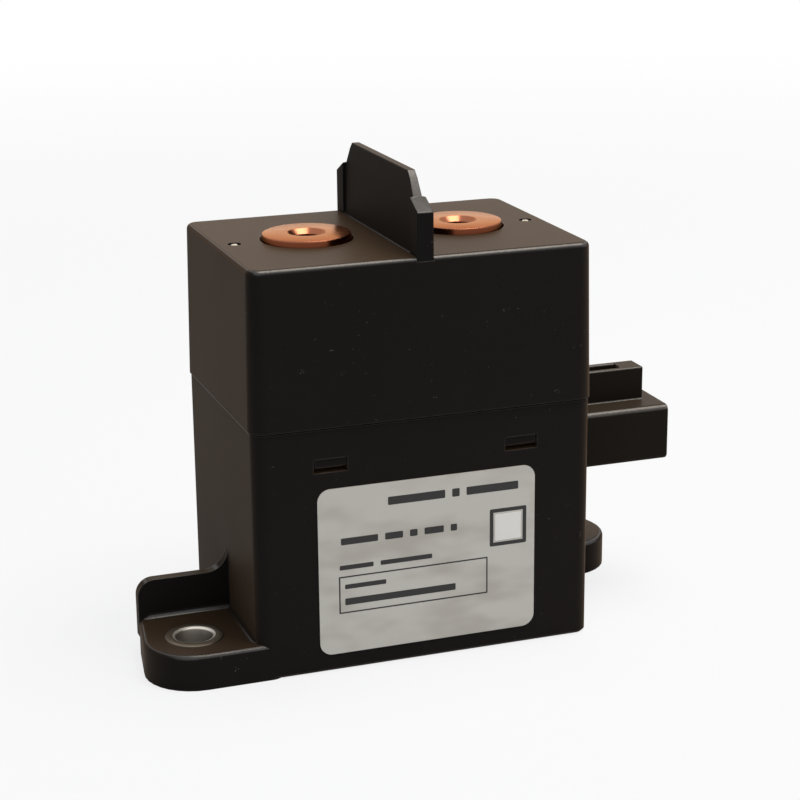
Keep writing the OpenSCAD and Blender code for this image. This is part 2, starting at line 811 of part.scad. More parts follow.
// Bent metal skirt: a foot welded to the top plate and a thin wall brazed to the ceramic
module chamber_skirt() {
    mid_r = chamber_r - chamber_wall / 2;
    color([0.66, 0.64, 0.6])
        difference() {
            union() {
                rounded_prism(chamber_mid_w + skirt_t, chamber_mid_d + skirt_t, mid_r + skirt_t / 2,
                    plate_top_z, chamber_low_z);
                rounded_prism(chamber_mid_w + 2 * skirt_foot, chamber_mid_d + 2 * skirt_foot,
                    mid_r + skirt_foot, plate_top_z, plate_top_z + skirt_t);
            }
            rounded_prism(chamber_mid_w - skirt_t, chamber_mid_d - skirt_t, mid_r - skirt_t / 2,
                plate_top_z - over, chamber_low_z + over);
        }
}

// Insulating tray under the contact bridge
module arc_shield() {
    outer_w = chamber_in_w - 2 * shield_gap;
    outer_d = chamber_in_d - 2 * shield_gap;
    outer_r = chamber_r - chamber_wall - shield_gap;
    color([0.85, 0.82, 0.74])
        difference() {
            rounded_prism(outer_w, outer_d, outer_r, flange_top_z, flange_top_z + shield_h);
            rounded_prism(outer_w - 2 * shield_wall, outer_d - 2 * shield_wall, outer_r - shield_wall,
                flange_top_z + shield_t, flange_top_z + shield_h + over);
            translate([0, 0, flange_top_z - over])
                cylinder(r = rod_r + 2 * free_gap, h = shield_t + 2 * over, $fn = round_fn);
        }
}

// Blowout magnet that lies flat on one long side of the chamber
module magnet(side) {
    magnet_z = chamber_top_z - magnet_h;
    color([0.3, 0.3, 0.31])
        translate([-magnet_w / 2, side > 0 ? chamber_d / 2 + joint_gap
            : -chamber_d / 2 - joint_gap - magnet_t, magnet_z])
            cube([magnet_w, magnet_t, magnet_h]);
}

module magnet_front() {
    magnet(-1);
}

module magnet_back() {
    magnet(1);
}

// Steel band that closes the magnets' field and stands on the top plate
module magnet_band() {
    inner_w = chamber_w + 2 * skirt_foot;
    inner_d = chamber_d + 2 * magnet_t + 4 * joint_gap;
    leg_top = chamber_top_z - magnet_h - band_t;
    color([0.55, 0.55, 0.56])
        difference() {
            rounded_prism(inner_w + 2 * band_t, inner_d + 2 * band_t, band_t + inner_r, plate_top_z,
                chamber_top_z);
            rounded_prism(inner_w, inner_d, inner_r, plate_top_z - over, chamber_top_z + over);
            translate([-inner_w / 2 + inner_r + band_t, -inner_d, plate_top_z - over])
                cube([inner_w - 2 * inner_r - 2 * band_t, 2 * inner_d, leg_top - plate_top_z + over]);
        }
}

// Pinched copper tube through which the chamber was filled with gas
module exhaust_tube() {
    tube_r = 1.1;
    tube_h = 5;
    pinch_h = 1.6;
    color([0.8, 0.48, 0.32])
        translate([0, chamber_mid_d / 2 + skirt_foot + tube_r + free_gap, plate_top_z])
            union() {
                cylinder(r = tube_r, h = tube_h, $fn = round_fn);
                translate([-tube_r, -tube_r / 4, tube_h - pinch_h / 4])
                    cube([2 * tube_r, tube_r / 2, pinch_h]);
            }
}

module top_plate() {
    color([0.6, 0.6, 0.6])
        difference() {
            rounded_prism(plate_w, plate_d, inner_r, frame_top_z, plate_top_z);
            translate([0, 0, frame_top_z - over])
                cylinder(r = fixed_core_r + joint_gap, h = plate_t + 2 * over, $fn = round_fn);
        }
}

// U-shaped steel frame, with windows for the coil leads in its sides
module u_frame() {
    notch_w = pin_pitch + pin_w + 2 * lead_d;
    notch_h = 2 * lead_d + 2 * pin_t;
    color([0.58, 0.58, 0.58])
        difference() {
            translate([-frame_w / 2, -frame_d / 2, frame_low_z])
                cube([frame_w, frame_d, frame_top_z - frame_low_z]);
            translate([-frame_w / 2 + frame_t, -frame_d / 2 - over, frame_low_z + frame_t])
                cube([frame_w - 2 * frame_t, frame_d + 2 * over, frame_top_z - frame_low_z]);
            translate([-frame_w / 2 - over, -notch_w / 2, lead_z - notch_h / 2])
                cube([frame_w + 2 * over, notch_w, notch_h]);
        }
}

module yoke_bush() {
    color([0.6, 0.6, 0.6])
        tube_ring(bush_in_r + bush_t, bush_in_r, sleeve_low_z, sleeve_low_z + bush_h);
}

module coil_bobbin() {
    color([0.12, 0.12, 0.13])
        rotate_extrude($fn = round_fn)
            polygon([
                [bobbin_in_r, sleeve_low_z],
                [bobbin_d / 2, sleeve_low_z],
                [bobbin_d / 2, sleeve_low_z + bobbin_flange_t],
                [bobbin_tube_r, sleeve_low_z + bobbin_flange_t],
                [bobbin_tube_r, bobbin_top_z - bobbin_flange_t],
                [bobbin_d / 2, bobbin_top_z - bobbin_flange_t],
                [bobbin_d / 2, bobbin_top_z],
                [bobbin_in_r, bobbin_top_z]]);
}

// Winding with one ridge for each row of wire
module coil_winding() {
    low = sleeve_low_z + bobbin_flange_t + joint_gap;
    high = bobbin_top_z - bobbin_flange_t - joint_gap;
    row_h = (high - low) / winding_rows;
    ridge = row_h / 4;
    color([0.62, 0.3, 0.14])
        rotate_extrude($fn = round_fn)
            polygon(concat(
                [[bobbin_tube_r + joint_gap, low]],
                [for (i = [0:winding_rows - 1]) for (step = [0, 1, 2])
                    [winding_d / 2 - (step == 0 ? ridge : 0), low + row_h * (i + [0, 0.3, 0.7][step])]],
                [[winding_d / 2 - ridge, high], [bobbin_tube_r + joint_gap, high]]));
}

// Closed thin cup in which the moving core slides
module plunger_sleeve() {
    color([0.72, 0.72, 0.72])
        rotate_extrude($fn = round_fn)
            polygon([
                [0, sleeve_low_z],
                [sleeve_out_r, sleeve_low_z],
                [sleeve_out_r, frame_top_z - sleeve_wall],
                [sleeve_flange_r, frame_top_z - sleeve_wall],
                [sleeve_flange_r, frame_top_z],
                [sleeve_in_r, frame_top_z],
                [sleeve_in_r, sleeve_low_z + sleeve_wall],
                [0, sleeve_low_z + sleeve_wall]]);
}

module damper_pad() {
    color([0.1, 0.1, 0.1])
        tube_ring(sleeve_in_r - free_gap, rod_r + free_gap, damper_low_z, core_low_z);
}

// Fixed core with its flange on the top plate, a guide bore and a spring pocket
module fixed_core() {
    bore_r = rod_r + rod_clearance;
    color([0.63, 0.62, 0.6])
        rotate_extrude($fn = round_fn)
            polygon([
                [pocket_r, fixed_core_low_z],
                [fixed_core_r, fixed_core_low_z],
                [fixed_core_r, plate_top_z],
                [fixed_flange_r, plate_top_z],
                [fixed_flange_r, flange_top_z],
                [bore_r, flange_top_z],
                [bore_r, fixed_core_low_z + pocket_depth],
                [pocket_r, fixed_core_low_z + pocket_depth]]);
}

// Moving core with a spring pocket in its top and the rod's seat through it
module moving_core() {
    seat_bore_r = rod_r + joint_gap;
    chamfer = core_gap;
    color([0.6, 0.59, 0.57])
        rotate_extrude($fn = round_fn)
            polygon([
                [seat_bore_r, core_low_z],
                [core_r - chamfer, core_low_z],
                [core_r, core_low_z + chamfer],
                [core_r, core_top_z - chamfer],
                [core_r - chamfer, core_top_z],
                [pocket_r, core_top_z],
                [pocket_r, core_top_z - pocket_depth],
                [seat_bore_r, core_top_z - pocket_depth]]);
}

// Push rod with a shoulder groove under its tip for the clip
module push_rod() {
    tip = rod_d / 8;
    color([0.75, 0.75, 0.76])
        rotate_extrude($fn = round_fn)
            polygon([
                [0, core_low_z],
                [rod_r, core_low_z],
                [rod_r, bridge_top_z],
                [rod_r - tip / 2, bridge_top_z],
                [rod_r - tip / 2, bridge_top_z + clip_t],
                [rod_r, bridge_top_z + clip_t],
                [rod_r, rod_top_z - tip / 2],
                [rod_r - tip / 2, rod_top_z],
                [0, rod_top_z]]);
}

module return_spring() {
    color([0.7, 0.7, 0.72])
        helical_spring(return_mean_r, return_wire_d, return_turns, core_top_z - pocket_depth,
            fixed_core_low_z + pocket_depth);
}

module spring_seat() {
    color([0.74, 0.74, 0.74])
        tube_ring(seat_r, rod_r + joint_gap, seat_z, seat_z + seat_t);
}

module contact_spring() {
    color([0.7, 0.7, 0.72])
        helical_spring(contact_mean_r, contact_wire_d, contact_turns, seat_z + seat_t, bridge_low_z);
}

// Copper bridge with two raised pads and a loose hole for the rod
module contact_bridge() {
    color([0.83, 0.5, 0.32])
        difference() {
            union() {
                rounded_prism(bridge_len, bridge_w, bridge_w / 3, bridge_low_z, bridge_top_z);
                for (sx = [-1, 1])
                    translate([sx * terminal_x, 0, bridge_top_z - contact_pad_h])
                        cylinder(d = contact_pad_d, h = 2 * contact_pad_h, $fn = round_fn);
            }
            translate([0, 0, bridge_low_z - over])
                cylinder(r = rod_r + free_gap, h = bridge_t + 2 * over, $fn = round_fn);
        }
}

// Open retaining ring in the rod's groove
module rod_clip() {
    groove_r = rod_r - rod_d / 16 + joint_gap;
    color([0.5, 0.5, 0.52])
        difference() {
            tube_ring(clip_r, groove_r, bridge_top_z, bridge_top_z + clip_t);
            translate([0, -groove_r, bridge_top_z - over])
                cube([clip_r + over, 2 * groove_r, clip_t + 2 * over]);
        }
}

// Outline of the shroud, seen along X
module shroud_outline(inset) {
    translate([0, shroud_mid_z])
        rounded_rect(shroud_w - 2 * inset, shroud_h - 2 * inset, shroud_r);
}

// Prism that runs along X between two places
module along_x(x0, x1) {
    translate([x0, 0, 0])
        rotate([90, 0, 90])
            linear_extrude(height = x1 - x0)
                children();
}

// Coil connector: a shroud with a latch guide on top, set through the case wall
module connector_housing() {
    guide_x = mouth_x - guide_setback;
    guide_z = shroud_z + shroud_h;
    color([0.055, 0.052, 0.05])
        union() {
            difference() {
                union() {
                    along_x(conn_x, mouth_x)
                        shroud_outline(0);
                    along_x(plug_in_x, conn_x + tenon_shoulder)
                        translate([0, shroud_mid_z])
                            square([shroud_w - 2 * tenon_shoulder, shroud_h - 2 * tenon_shoulder],
                                center = true);
                }
                along_x(socket_x, mouth_x + over)
                    shroud_outline(shroud_wall);
                for (sy = [-1, 1])
                    along_x(plug_in_x - over, socket_x + over)
                        translate([sy * pin_pitch / 2, shroud_mid_z])
                            square([pin_w + 2 * joint_gap, pin_t + 2 * joint_gap], center = true);
            }
            along_x(socket_x - shroud_wall / 2, mouth_x - guide_setback)
                translate([0, shroud_z + shroud_wall + key_h / 2 - shroud_wall / 4])
                    square([key_w, key_h + shroud_wall / 2], center = true);
            for (sy = [-1, 1])
                along_x(conn_x, guide_x)
                    translate([sy * (guide_w - guide_wall) / 2, guide_z + guide_h / 2 - guide_wall / 4])
                        square([guide_wall, guide_h + guide_wall / 2], center = true);
            along_x(guide_x - guide_bar_len, guide_x)
                translate([0, guide_z + guide_h - guide_bar_t / 2])
                    square([guide_w, guide_bar_t], center = true);
            along_x(conn_x, conn_x + guide_wall)
                translate([0, guide_z + guide_h / 2 - guide_wall / 4])
                    square([guide_w, guide_h + guide_wall / 2], center = true);
        }
}

// Flat coil pin with a tapered tip
module coil_pin(side) {
    tip = pin_w / 3;
    color([0.78, 0.77, 0.74])
        translate([0, side * pin_pitch / 2, shroud_mid_z - pin_t / 2])
            linear_extrude(height = pin_t)
                polygon([
                    [pin_tail_x, -pin_w / 2],
                    [pin_tip_x - 2 * tip, -pin_w / 2],
                    [pin_tip_x, -pin_w / 2 + tip],
                    [pin_tip_x, pin_w / 2 - tip],
                    [pin_tip_x - 2 * tip, pin_w / 2],
                    [pin_tail_x, pin_w / 2]]);
}

module coil_pin_front() {
    coil_pin(-1);
}

module coil_pin_back() {
    coil_pin(1);
}

// Insulated lead from the winding to the pin's underside
module coil_lead(side) {
    lead_y = side * pin_pitch / 2;
    start_x = sqrt(pow(winding_d / 2, 2) - pow(pin_pitch / 2 - lead_d / 2, 2)) + joint_gap;
    color([0.5, 0.09, 0.08])
        translate([start_x, lead_y, lead_z])
            rotate([0, 90, 0])
                cylinder(d = lead_d, h = pin_tail_x + pin_w - start_x, $fn = round_fn);
}

module coil_lead_front() {
    coil_lead(-1);
}

module coil_lead_back() {
    coil_lead(1);
}

lower_case();
upper_cover();
arc_barrier();
rating_label();
foot_bushing_left();
foot_bushing_right();
terminal_left();
terminal_right();
terminal_collar_left();
terminal_collar_right();
ceramic_chamber();
chamber_skirt();
arc_shield();
magnet_front();
magnet_back();
magnet_band();
exhaust_tube();
top_plate();
u_frame();
yoke_bush();
coil_bobbin();
coil_winding();
plunger_sleeve();
damper_pad();
fixed_core();
moving_core();
push_rod();
return_spring();
spring_seat();
contact_spring();
contact_bridge();
rod_clip();
connector_housing();
coil_pin_front();
coil_pin_back();
coil_lead_front();
coil_lead_back();
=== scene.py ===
"""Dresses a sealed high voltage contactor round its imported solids.

The solids' boxes give most places and sizes, and the few that a box can't tell are named
values of the class that needs them. Each sub-assembly is a class that builds its own meshes,
gives them a finish and lets them ride on the body that carries them.
"""

import logging
import math
from dataclasses import dataclass
from enum import Enum
from typing import Any, Callable, Mapping, Sequence, Union

import bmesh
import bpy
from mathutils import Matrix, Vector


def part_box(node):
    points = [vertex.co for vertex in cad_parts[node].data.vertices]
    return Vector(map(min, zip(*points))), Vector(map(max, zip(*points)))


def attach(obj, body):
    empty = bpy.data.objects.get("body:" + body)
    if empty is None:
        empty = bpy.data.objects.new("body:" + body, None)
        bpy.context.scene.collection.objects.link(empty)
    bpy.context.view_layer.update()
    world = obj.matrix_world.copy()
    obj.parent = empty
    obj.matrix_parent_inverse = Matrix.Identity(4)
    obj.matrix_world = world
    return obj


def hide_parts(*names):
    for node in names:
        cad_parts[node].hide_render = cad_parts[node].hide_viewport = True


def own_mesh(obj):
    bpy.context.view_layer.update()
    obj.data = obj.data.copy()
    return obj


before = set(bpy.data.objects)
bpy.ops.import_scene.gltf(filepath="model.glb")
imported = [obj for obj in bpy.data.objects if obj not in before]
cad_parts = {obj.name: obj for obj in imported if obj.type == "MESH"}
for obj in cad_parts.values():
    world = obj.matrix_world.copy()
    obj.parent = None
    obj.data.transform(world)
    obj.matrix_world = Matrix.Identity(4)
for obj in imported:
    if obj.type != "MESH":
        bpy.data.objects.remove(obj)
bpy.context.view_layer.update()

LOG = logging.getLogger("contactor")
MM = 0.001
HOUSING = "housing"

Colour = tuple[float, float, float]
Step = tuple[float, float]
Value = Union[float, "Wire"]
WHITE: Colour = (1.0, 1.0, 1.0)

# How a solid's mesh is cleaned, which of its edges get a bevel, and which shade as sharp
WELD = 0.002 * MM
FLAT_DEG = 0.5
BEVEL_DEG = 35.0
BEVEL_STEPS = 2
SHARP_DEG = 32.0


def linear(red: int, green: int, blue: int) -> Colour:
    """Turns a colour of 0 to 255 as a screen shows it into linear light.

    Args:
        red: red share, 0 to 255.
        green: green share, 0 to 255.
        blue: blue share, 0 to 255.

    Returns:
        The same colour in linear light.
    """
    toe, toe_slope, offset, power, top = 0.04045, 12.92, 0.055, 2.4, 255
    shares = [channel / top for channel in (red, green, blue)]
    return tuple(
        share / toe_slope if share <= toe else ((share + offset) / (1 + offset)) ** power
        for share in shares
    )


class Wire:
    """A shader socket with arithmetic, so that node maths reads as an expression."""

    def __init__(self, graph: "Nodes", socket: bpy.types.NodeSocket) -> None:
        """Keeps the graph that new nodes join and the socket that feeds them."""
        self.graph = graph
        self.socket = socket

    def _math(self, operation: str, first: Value, second: Value = 0.0) -> "Wire":
        """Adds one Math node.

        Args:
            operation: the Math node's operation.
            first: its first input.
            second: its second input.

        Returns:
            The node's result.
        """
        node = self.graph.node("ShaderNodeMath", {"operation": operation}, {0: first, 1: second})
        return Wire(self.graph, node.outputs[0])

    def __add__(self, other: Value) -> "Wire":
        """Sum."""
        return self._math("ADD", self, other)

    __radd__ = __add__

    def __sub__(self, other: Value) -> "Wire":
        """Difference."""
        return self._math("SUBTRACT", self, other)

    def __rsub__(self, other: Value) -> "Wire":
        """Difference from a number."""
        return self._math("SUBTRACT", other, self)

    def __mul__(self, other: Value) -> "Wire":
        """Product."""
        return self._math("MULTIPLY", self, other)

    __rmul__ = __mul__

    def larger(self, other: Value) -> "Wire":
        """The larger of two values."""
        return self._math("MAXIMUM", self, other)

    def sine(self) -> "Wire":
        """Sine of an angle."""
        return self._math("SINE", self)

    def above(self, limit: float, width: float) -> "Wire":
        """Soft step that rises from 0 to 1.

        Args:
            limit: where the step starts.
            width: how far it takes to reach 1.

        Returns:
            The step's value.
        """
        node = self.graph.node(
            "ShaderNodeMapRange",
            {"interpolation_type": "SMOOTHSTEP"},
            {"Value": self, "From Min": limit, "From Max": limit + width},
        )
        return Wire(self.graph, node.outputs["Result"])

    def below(self, limit: float, width: float) -> "Wire":
        """One minus the soft step of above()."""
        return 1 - self.above(limit, width)


class Nodes:
    """A node tree and the one method that adds a node to it."""

    def __init__(self, owner: Union[bpy.types.Material, bpy.types.World]) -> None:
        """Empties the node tree of a material or a world.

        Args:
            owner: what the tree belongs to.
        """
        owner.use_nodes = True
        self.tree = owner.node_tree
        self.tree.nodes.clear()

    def node(
        self, kind: str, settings: Mapping[str, Any], inputs: Mapping[Any, Any]
    ) -> bpy.types.Node:
        """Adds a node of any type.

        Args:
            kind: the node's type.
            settings: its properties, which are set first.
            inputs: a number, colour, socket or wire for each input's name or index.

        Returns:
            The new node.
        """
        node = self.tree.nodes.new(kind)
        for name, value in settings.items():
            setattr(node, name, value)
        for name, value in inputs.items():
            self.plug(node.inputs[name], value)
        return node

    def plug(self, socket: bpy.types.NodeSocket, value: Any) -> None:
        """Links an input to a wire or socket, or gives it a plain value.

        Args:
            socket: the input.
            value: a wire, socket, number, vector or colour.
        """
        if isinstance(value, Wire):
            value = value.socket
        if isinstance(value, bpy.types.NodeSocket):
            self.tree.links.new(value, socket)
        elif socket.type == "RGBA" and len(value) == 3:
            socket.default_value = (*value, 1.0)
        else:
            socket.default_value = value

    def vector(self, operation: str, *inputs: Any) -> bpy.types.Node:
        """Adds one Vector Math node that takes its inputs in order."""
        return self.node("ShaderNodeVectorMath", {"operation": operation}, dict(enumerate(inputs)))


class Graph(Nodes):
    """The node tree of one material, with its shader and its object coordinates.

    Each pair below is where a soft step starts and how wide it is: on the share of a normal
    that points along an axis, or on how far a rounded normal agrees with the plain one.
    """

    edge_step: Step = (0.9, 0.09)
    level_step: Step = (0.9, 0.08)
    rim_low_step: Step = (0.2, 0.25)
    rim_high_step: Step = (0.86, 0.1)
    rim_side_step: Step = (0.1, 0.3)
    sharp_width: float = 0.001
    ragged: float = 6.0
    bevel_samples: int = 6

    def __init__(self, name: str) -> None:
        """Makes an empty material with a principled shader.

        Args:
            name: the material's name.
        """
        self.material = bpy.data.materials.new(name)
        super().__init__(self.material)
        self.shader = self.node("ShaderNodeBsdfPrincipled", {}, {})
        self.node("ShaderNodeOutputMaterial", {}, {"Surface": self.shader.outputs[0]})
        self.place = self.node("ShaderNodeTexCoord", {}, {}).outputs["Object"]

    def set(self, **inputs: Any) -> None:
        """Sets the shader's sockets, with an underscore for each space in a name."""
        for name, value in inputs.items():
            self.plug(self.shader.inputs[name.replace("_", " ")], value)

    def scaled(self, factors: Sequence[float]) -> bpy.types.NodeSocket:
        """Object coordinates times a factor on each axis."""
        return self.vector("MULTIPLY", self.place, tuple(factors)).outputs["Vector"]

    def noise(
        self,
        grain_mm: float,
        detail: float = 2.0,
        roughness: float = 0.5,
        stretch: Sequence[float] = (1.0, 1.0, 1.0),
    ) -> Wire:
        """Noise of a real size.

        Args:
            grain_mm: size of its largest features in millimetres.
            detail: how many finer layers it has.
            roughness: how strong they are.
            stretch: factor on each axis; a small one draws the noise out.

        Returns:
            Its value, around one half.
        """
        scale = 1 / (grain_mm * MM)
        node = self.node(
            "ShaderNodeTexNoise",
            {},
            {
                "Vector": self.scaled([scale * share for share in stretch]),
                "Scale": 1.0,
                "Detail": detail,
                "Roughness": roughness,
            },
        )
        return Wire(self, node.outputs[0])

    def specks(self, cell_mm: float, share: float, radius_share: float) -> Wire:
        """Small uneven specks strewn over the surface.

        Args:
            cell_mm: size of the cells that hold a speck or none.
            share: share of the cells that hold one.
            radius_share: a speck's radius as a share of the cell.

        Returns:
            A mask, up to 1 on the specks, each with a strength of its own.
        """
        scale = 1 / (cell_mm * MM)
        fine = self.scaled([scale * self.ragged] * 3)
        shift = self.node("ShaderNodeTexNoise", {}, {"Vector": fine, "Scale": 1.0}).outputs["Color"]
        bent = self.vector("MULTIPLY_ADD", self.place, (scale, scale, scale), shift)
        node = self.node(
            "ShaderNodeTexVoronoi",
            {"feature": "F1"},
            {"Vector": bent.outputs[0], "Scale": 1.0},
        )
        distance = Wire(self, node.outputs["Distance"])
        parts = self.node("ShaderNodeSeparateColor", {}, {0: node.outputs["Color"]})
        chosen = Wire(self, parts.outputs[0]).above(1 - share, self.sharp_width)
        strength = Wire(self, parts.outputs[2])
        size = Wire(self, parts.outputs[1]) * radius_share + radius_share / 2
        return chosen * strength * (size - distance).above(0.0, radius_share / 2)

    def mix(self, factor: Value, first: Any, second: Any) -> bpy.types.NodeSocket:
        """Mixes two colours.

        Args:
            factor: 0 gives the first colour and 1 the second.
            first: a colour or a socket.
            second: a colour or a socket.

        Returns:
            The mixed colour.
        """
        node = self.node(
            "ShaderNodeMix", {"data_type": "RGBA"}, {0: factor, 6: first, 7: second}
        )
        return node.outputs[2]

    def bump(self, height: Wire, depth_mm: float, normal: Any = None) -> bpy.types.NodeSocket:
        """Turns a height into a normal.

        Args:
            height: height from 0 to 1.
            depth_mm: what a height of 1 stands for, in millimetres.
            normal: a normal to start from, or None.

        Returns:
            The new normal.
        """
        inputs = {"Height": height, "Distance": depth_mm * MM, "Strength": 1.0}
        if normal is not None:
            inputs["Normal"] = normal
        return self.node("ShaderNodeBump", {}, inputs).outputs[0]

    def soft_edges(self, radius_mm: float) -> bpy.types.NodeSocket:
        """Normal that rounds every edge by a small radius."""
        settings = {"samples": self.bevel_samples}
        return self.node("ShaderNodeBevel", settings, {"Radius": radius_mm * MM}).outputs[0]

    def edge_mask(self, rounded: bpy.types.NodeSocket) -> Wire:
        """Mask that is 1 along the edges, from a rounded normal."""
        plain = self.node("ShaderNodeNewGeometry", {}, {}).outputs["Normal"]
        agreement = Wire(self, self.vector("DOT_PRODUCT", plain, rounded).outputs["Value"])
        return agreement.below(*self.edge_step)

    def facing(self, axis: str) -> Wire:
        """How far the surface faces along an axis, from -1 to 1."""
        normal = self.node("ShaderNodeNewGeometry", {}, {}).outputs["Normal"]
        parts = self.node("ShaderNodeSeparateXYZ", {}, {0: normal})
        return Wire(self, parts.outputs[axis])

    def level_mask(self) -> Wire:
        """Mask that is 1 on faces that look straight up."""
        return self.facing("Z").above(*self.level_step)

    def rim_mask(self) -> Wire:
        """Mask that is 1 on long roundings between upright and level, and low on short sides."""
        rise, side = self.facing("Z"), self.facing("X")
        slanted = rise.above(*self.rim_low_step) * rise.below(*self.rim_high_step)
        return slanted * (side * side).below(*self.rim_side_step)

    def height(self) -> Wire:
        """Height above the floor, in metres."""
        parts = self.node("ShaderNodeSeparateXYZ", {}, {0: self.place})
        return Wire(self, parts.outputs["Z"])

    def radius_from(self, centre: Sequence[float]) -> Wire:
        """Distance from an upright axis through a point, in metres."""
        shifted = self.vector("SUBTRACT", self.place, (centre[0], centre[1], 0.0)).outputs[0]
        level = self.vector("MULTIPLY", shifted, (1.0, 1.0, 0.0)).outputs[0]
        return Wire(self, self.vector("LENGTH", level).outputs["Value"])


@dataclass(frozen=True)
class MouldedPlastic:
    """Glass-filled black plastic with a spark-eroded skin and a little dust.

    Lighter is the paler tone of its flow marks. The rubbed-edge tone lightens rubbed edges and also
    paints a highlight on upward-facing roundings; the top tone is a fine dust layer on level faces
    that also paints the warm light on top; polish is the faint gloss of rubbed edges and level
    faces.
    """

    name: str
    colour: Colour = linear(24, 24, 25)
    roughness: float = 0.44
    specular: float = 0.013
    sheen: float = 0.12
    sheen_tint: Colour = (1.0, 0.62, 0.34)
    sheen_roughness: float = 0.5
    skin_mm: float = 0.3
    skin_depth_mm: float = 0.012
    skin_detail: float = 3.0
    skin_roughness: float = 0.6
    flow_mm: float = 14.0
    edge_mm: float = 0.25
    # Gain and lift of the paler tones
    lighter: tuple[float, float] = (1.5, 0.002)
    # The rubbed-edge tone also serves as a painted highlight on upward-facing roundings
    worn_and_highlight: tuple[float, float] = (3.2, 0.008)
    # Shares of the flow marks and the skin: in the paler tone, in roughness, in the polish
    tone_shares: tuple[float, float] = (0.35, 0.25)
    rough_shares: tuple[float, float] = (0.08, 0.1)
    polish_shares: tuple[float, float] = (0.4, 1.2)
    polish_base: float = 0.2
    edge_smoothness: float = 0.12
    edge_wear: float = 0.3
    # Share of the paler tone painted as a highlight on upward-facing roundings
    rim_highlight: float = 0.4
    edge_polish: float = 0.5
    top_polish: float = 0.2
    # Dust colour on level faces, made lighter and warmer so that it also paints the warm light on
    # top
    top_dust_and_light: Colour = linear(44, 35, 27)
    top_dust_light_grain: float = 0.6
    top_dust_light_base: float = 0.7
    polish_roughness: float = 0.34
    # Height above which neither the painted highlight nor the polish reaches
    highlight_and_polish_top_mm: float = 200.0
    dust: Colour = linear(128, 122, 112)
    dust_share: float = 0.0
    dust_cell_mm: float = 2.6
    fine_ratio: float = 2.3
    dust_radius: float = 0.06
    fine_radius: float = 0.07
    dust_strength: float = 0.7
    fine_strength: float = 0.5
    dust_roughness: float = 0.2

    def tone(self, gain: float, lift: float) -> Colour:
        """The plastic's colour, brightened.

        Args:
            gain: factor on each channel.
            lift: what is added to each channel.

        Returns:
            The paler colour.
        """
        return tuple(channel * gain + lift for channel in self.colour)

    def material(self) -> bpy.types.Material:
        """Builds the plastic.

        Returns:
            The material.
        """
        graph = Graph(self.name)
        skin = graph.noise(self.skin_mm, self.skin_detail, self.skin_roughness)
        flow = graph.noise(self.flow_mm)
        rounded = graph.soft_edges(self.edge_mm)
        edge = graph.edge_mask(rounded)
        # Upward-facing roundings, where the paler tone paints a highlight and the polish adds gloss
        rim = graph.rim_mask() * graph.height().below(self.highlight_and_polish_top_mm * MM, MM)
        # Level faces: dust whose colour also paints the warm top light, and a little gloss
        level_dust_and_light = graph.level_mask() * (skin * self.top_dust_light_grain + self.top_dust_light_base)
        marks, uneven, patchy = (
            flow * of_flow + skin * of_skin
            for of_flow, of_skin in (self.tone_shares, self.rough_shares, self.polish_shares)
        )
        # Rubbed edges lighten from real rubbing; on upward-facing roundings the lighter tone is a
        # painted highlight
        wear_and_highlight = edge * self.edge_wear + rim * self.rim_highlight
        colour = graph.mix(marks, self.colour, self.tone(*self.lighter))
        colour = graph.mix(wear_and_highlight, colour, self.tone(*self.worn_and_highlight))
        # Dust colour on level faces, which also paints the warm top light
        colour = graph.mix(level_dust_and_light, colour, self.top_dust_and_light)
        rough = self.roughness + uneven - edge * self.edge_smoothness
        if self.dust_share:
            coarse = graph.specks(self.dust_cell_mm, self.dust_share, self.dust_radius)
            small_mm = self.dust_cell_mm / self.fine_ratio
            fine = graph.specks(small_mm, self.dust_share, self.fine_radius)
            specks = coarse * self.dust_strength + fine * self.fine_strength
            colour = graph.mix(specks, colour, self.dust)
            rough = rough + coarse * self.dust_roughness
        polish = (edge * self.edge_polish + rim) * (patchy + self.polish_base)
        graph.set(
            Base_Color=colour,
            Roughness=rough,
            Normal=graph.bump(skin, self.skin_depth_mm, rounded),
            Specular_IOR_Level=self.specular,
            Sheen_Weight=self.sheen,
            Sheen_Tint=self.sheen_tint,
            Sheen_Roughness=self.sheen_roughness,
            Coat_Weight=polish + level_dust_and_light * self.top_polish,
            Coat_Roughness=self.polish_roughness,
        )
        return graph.material


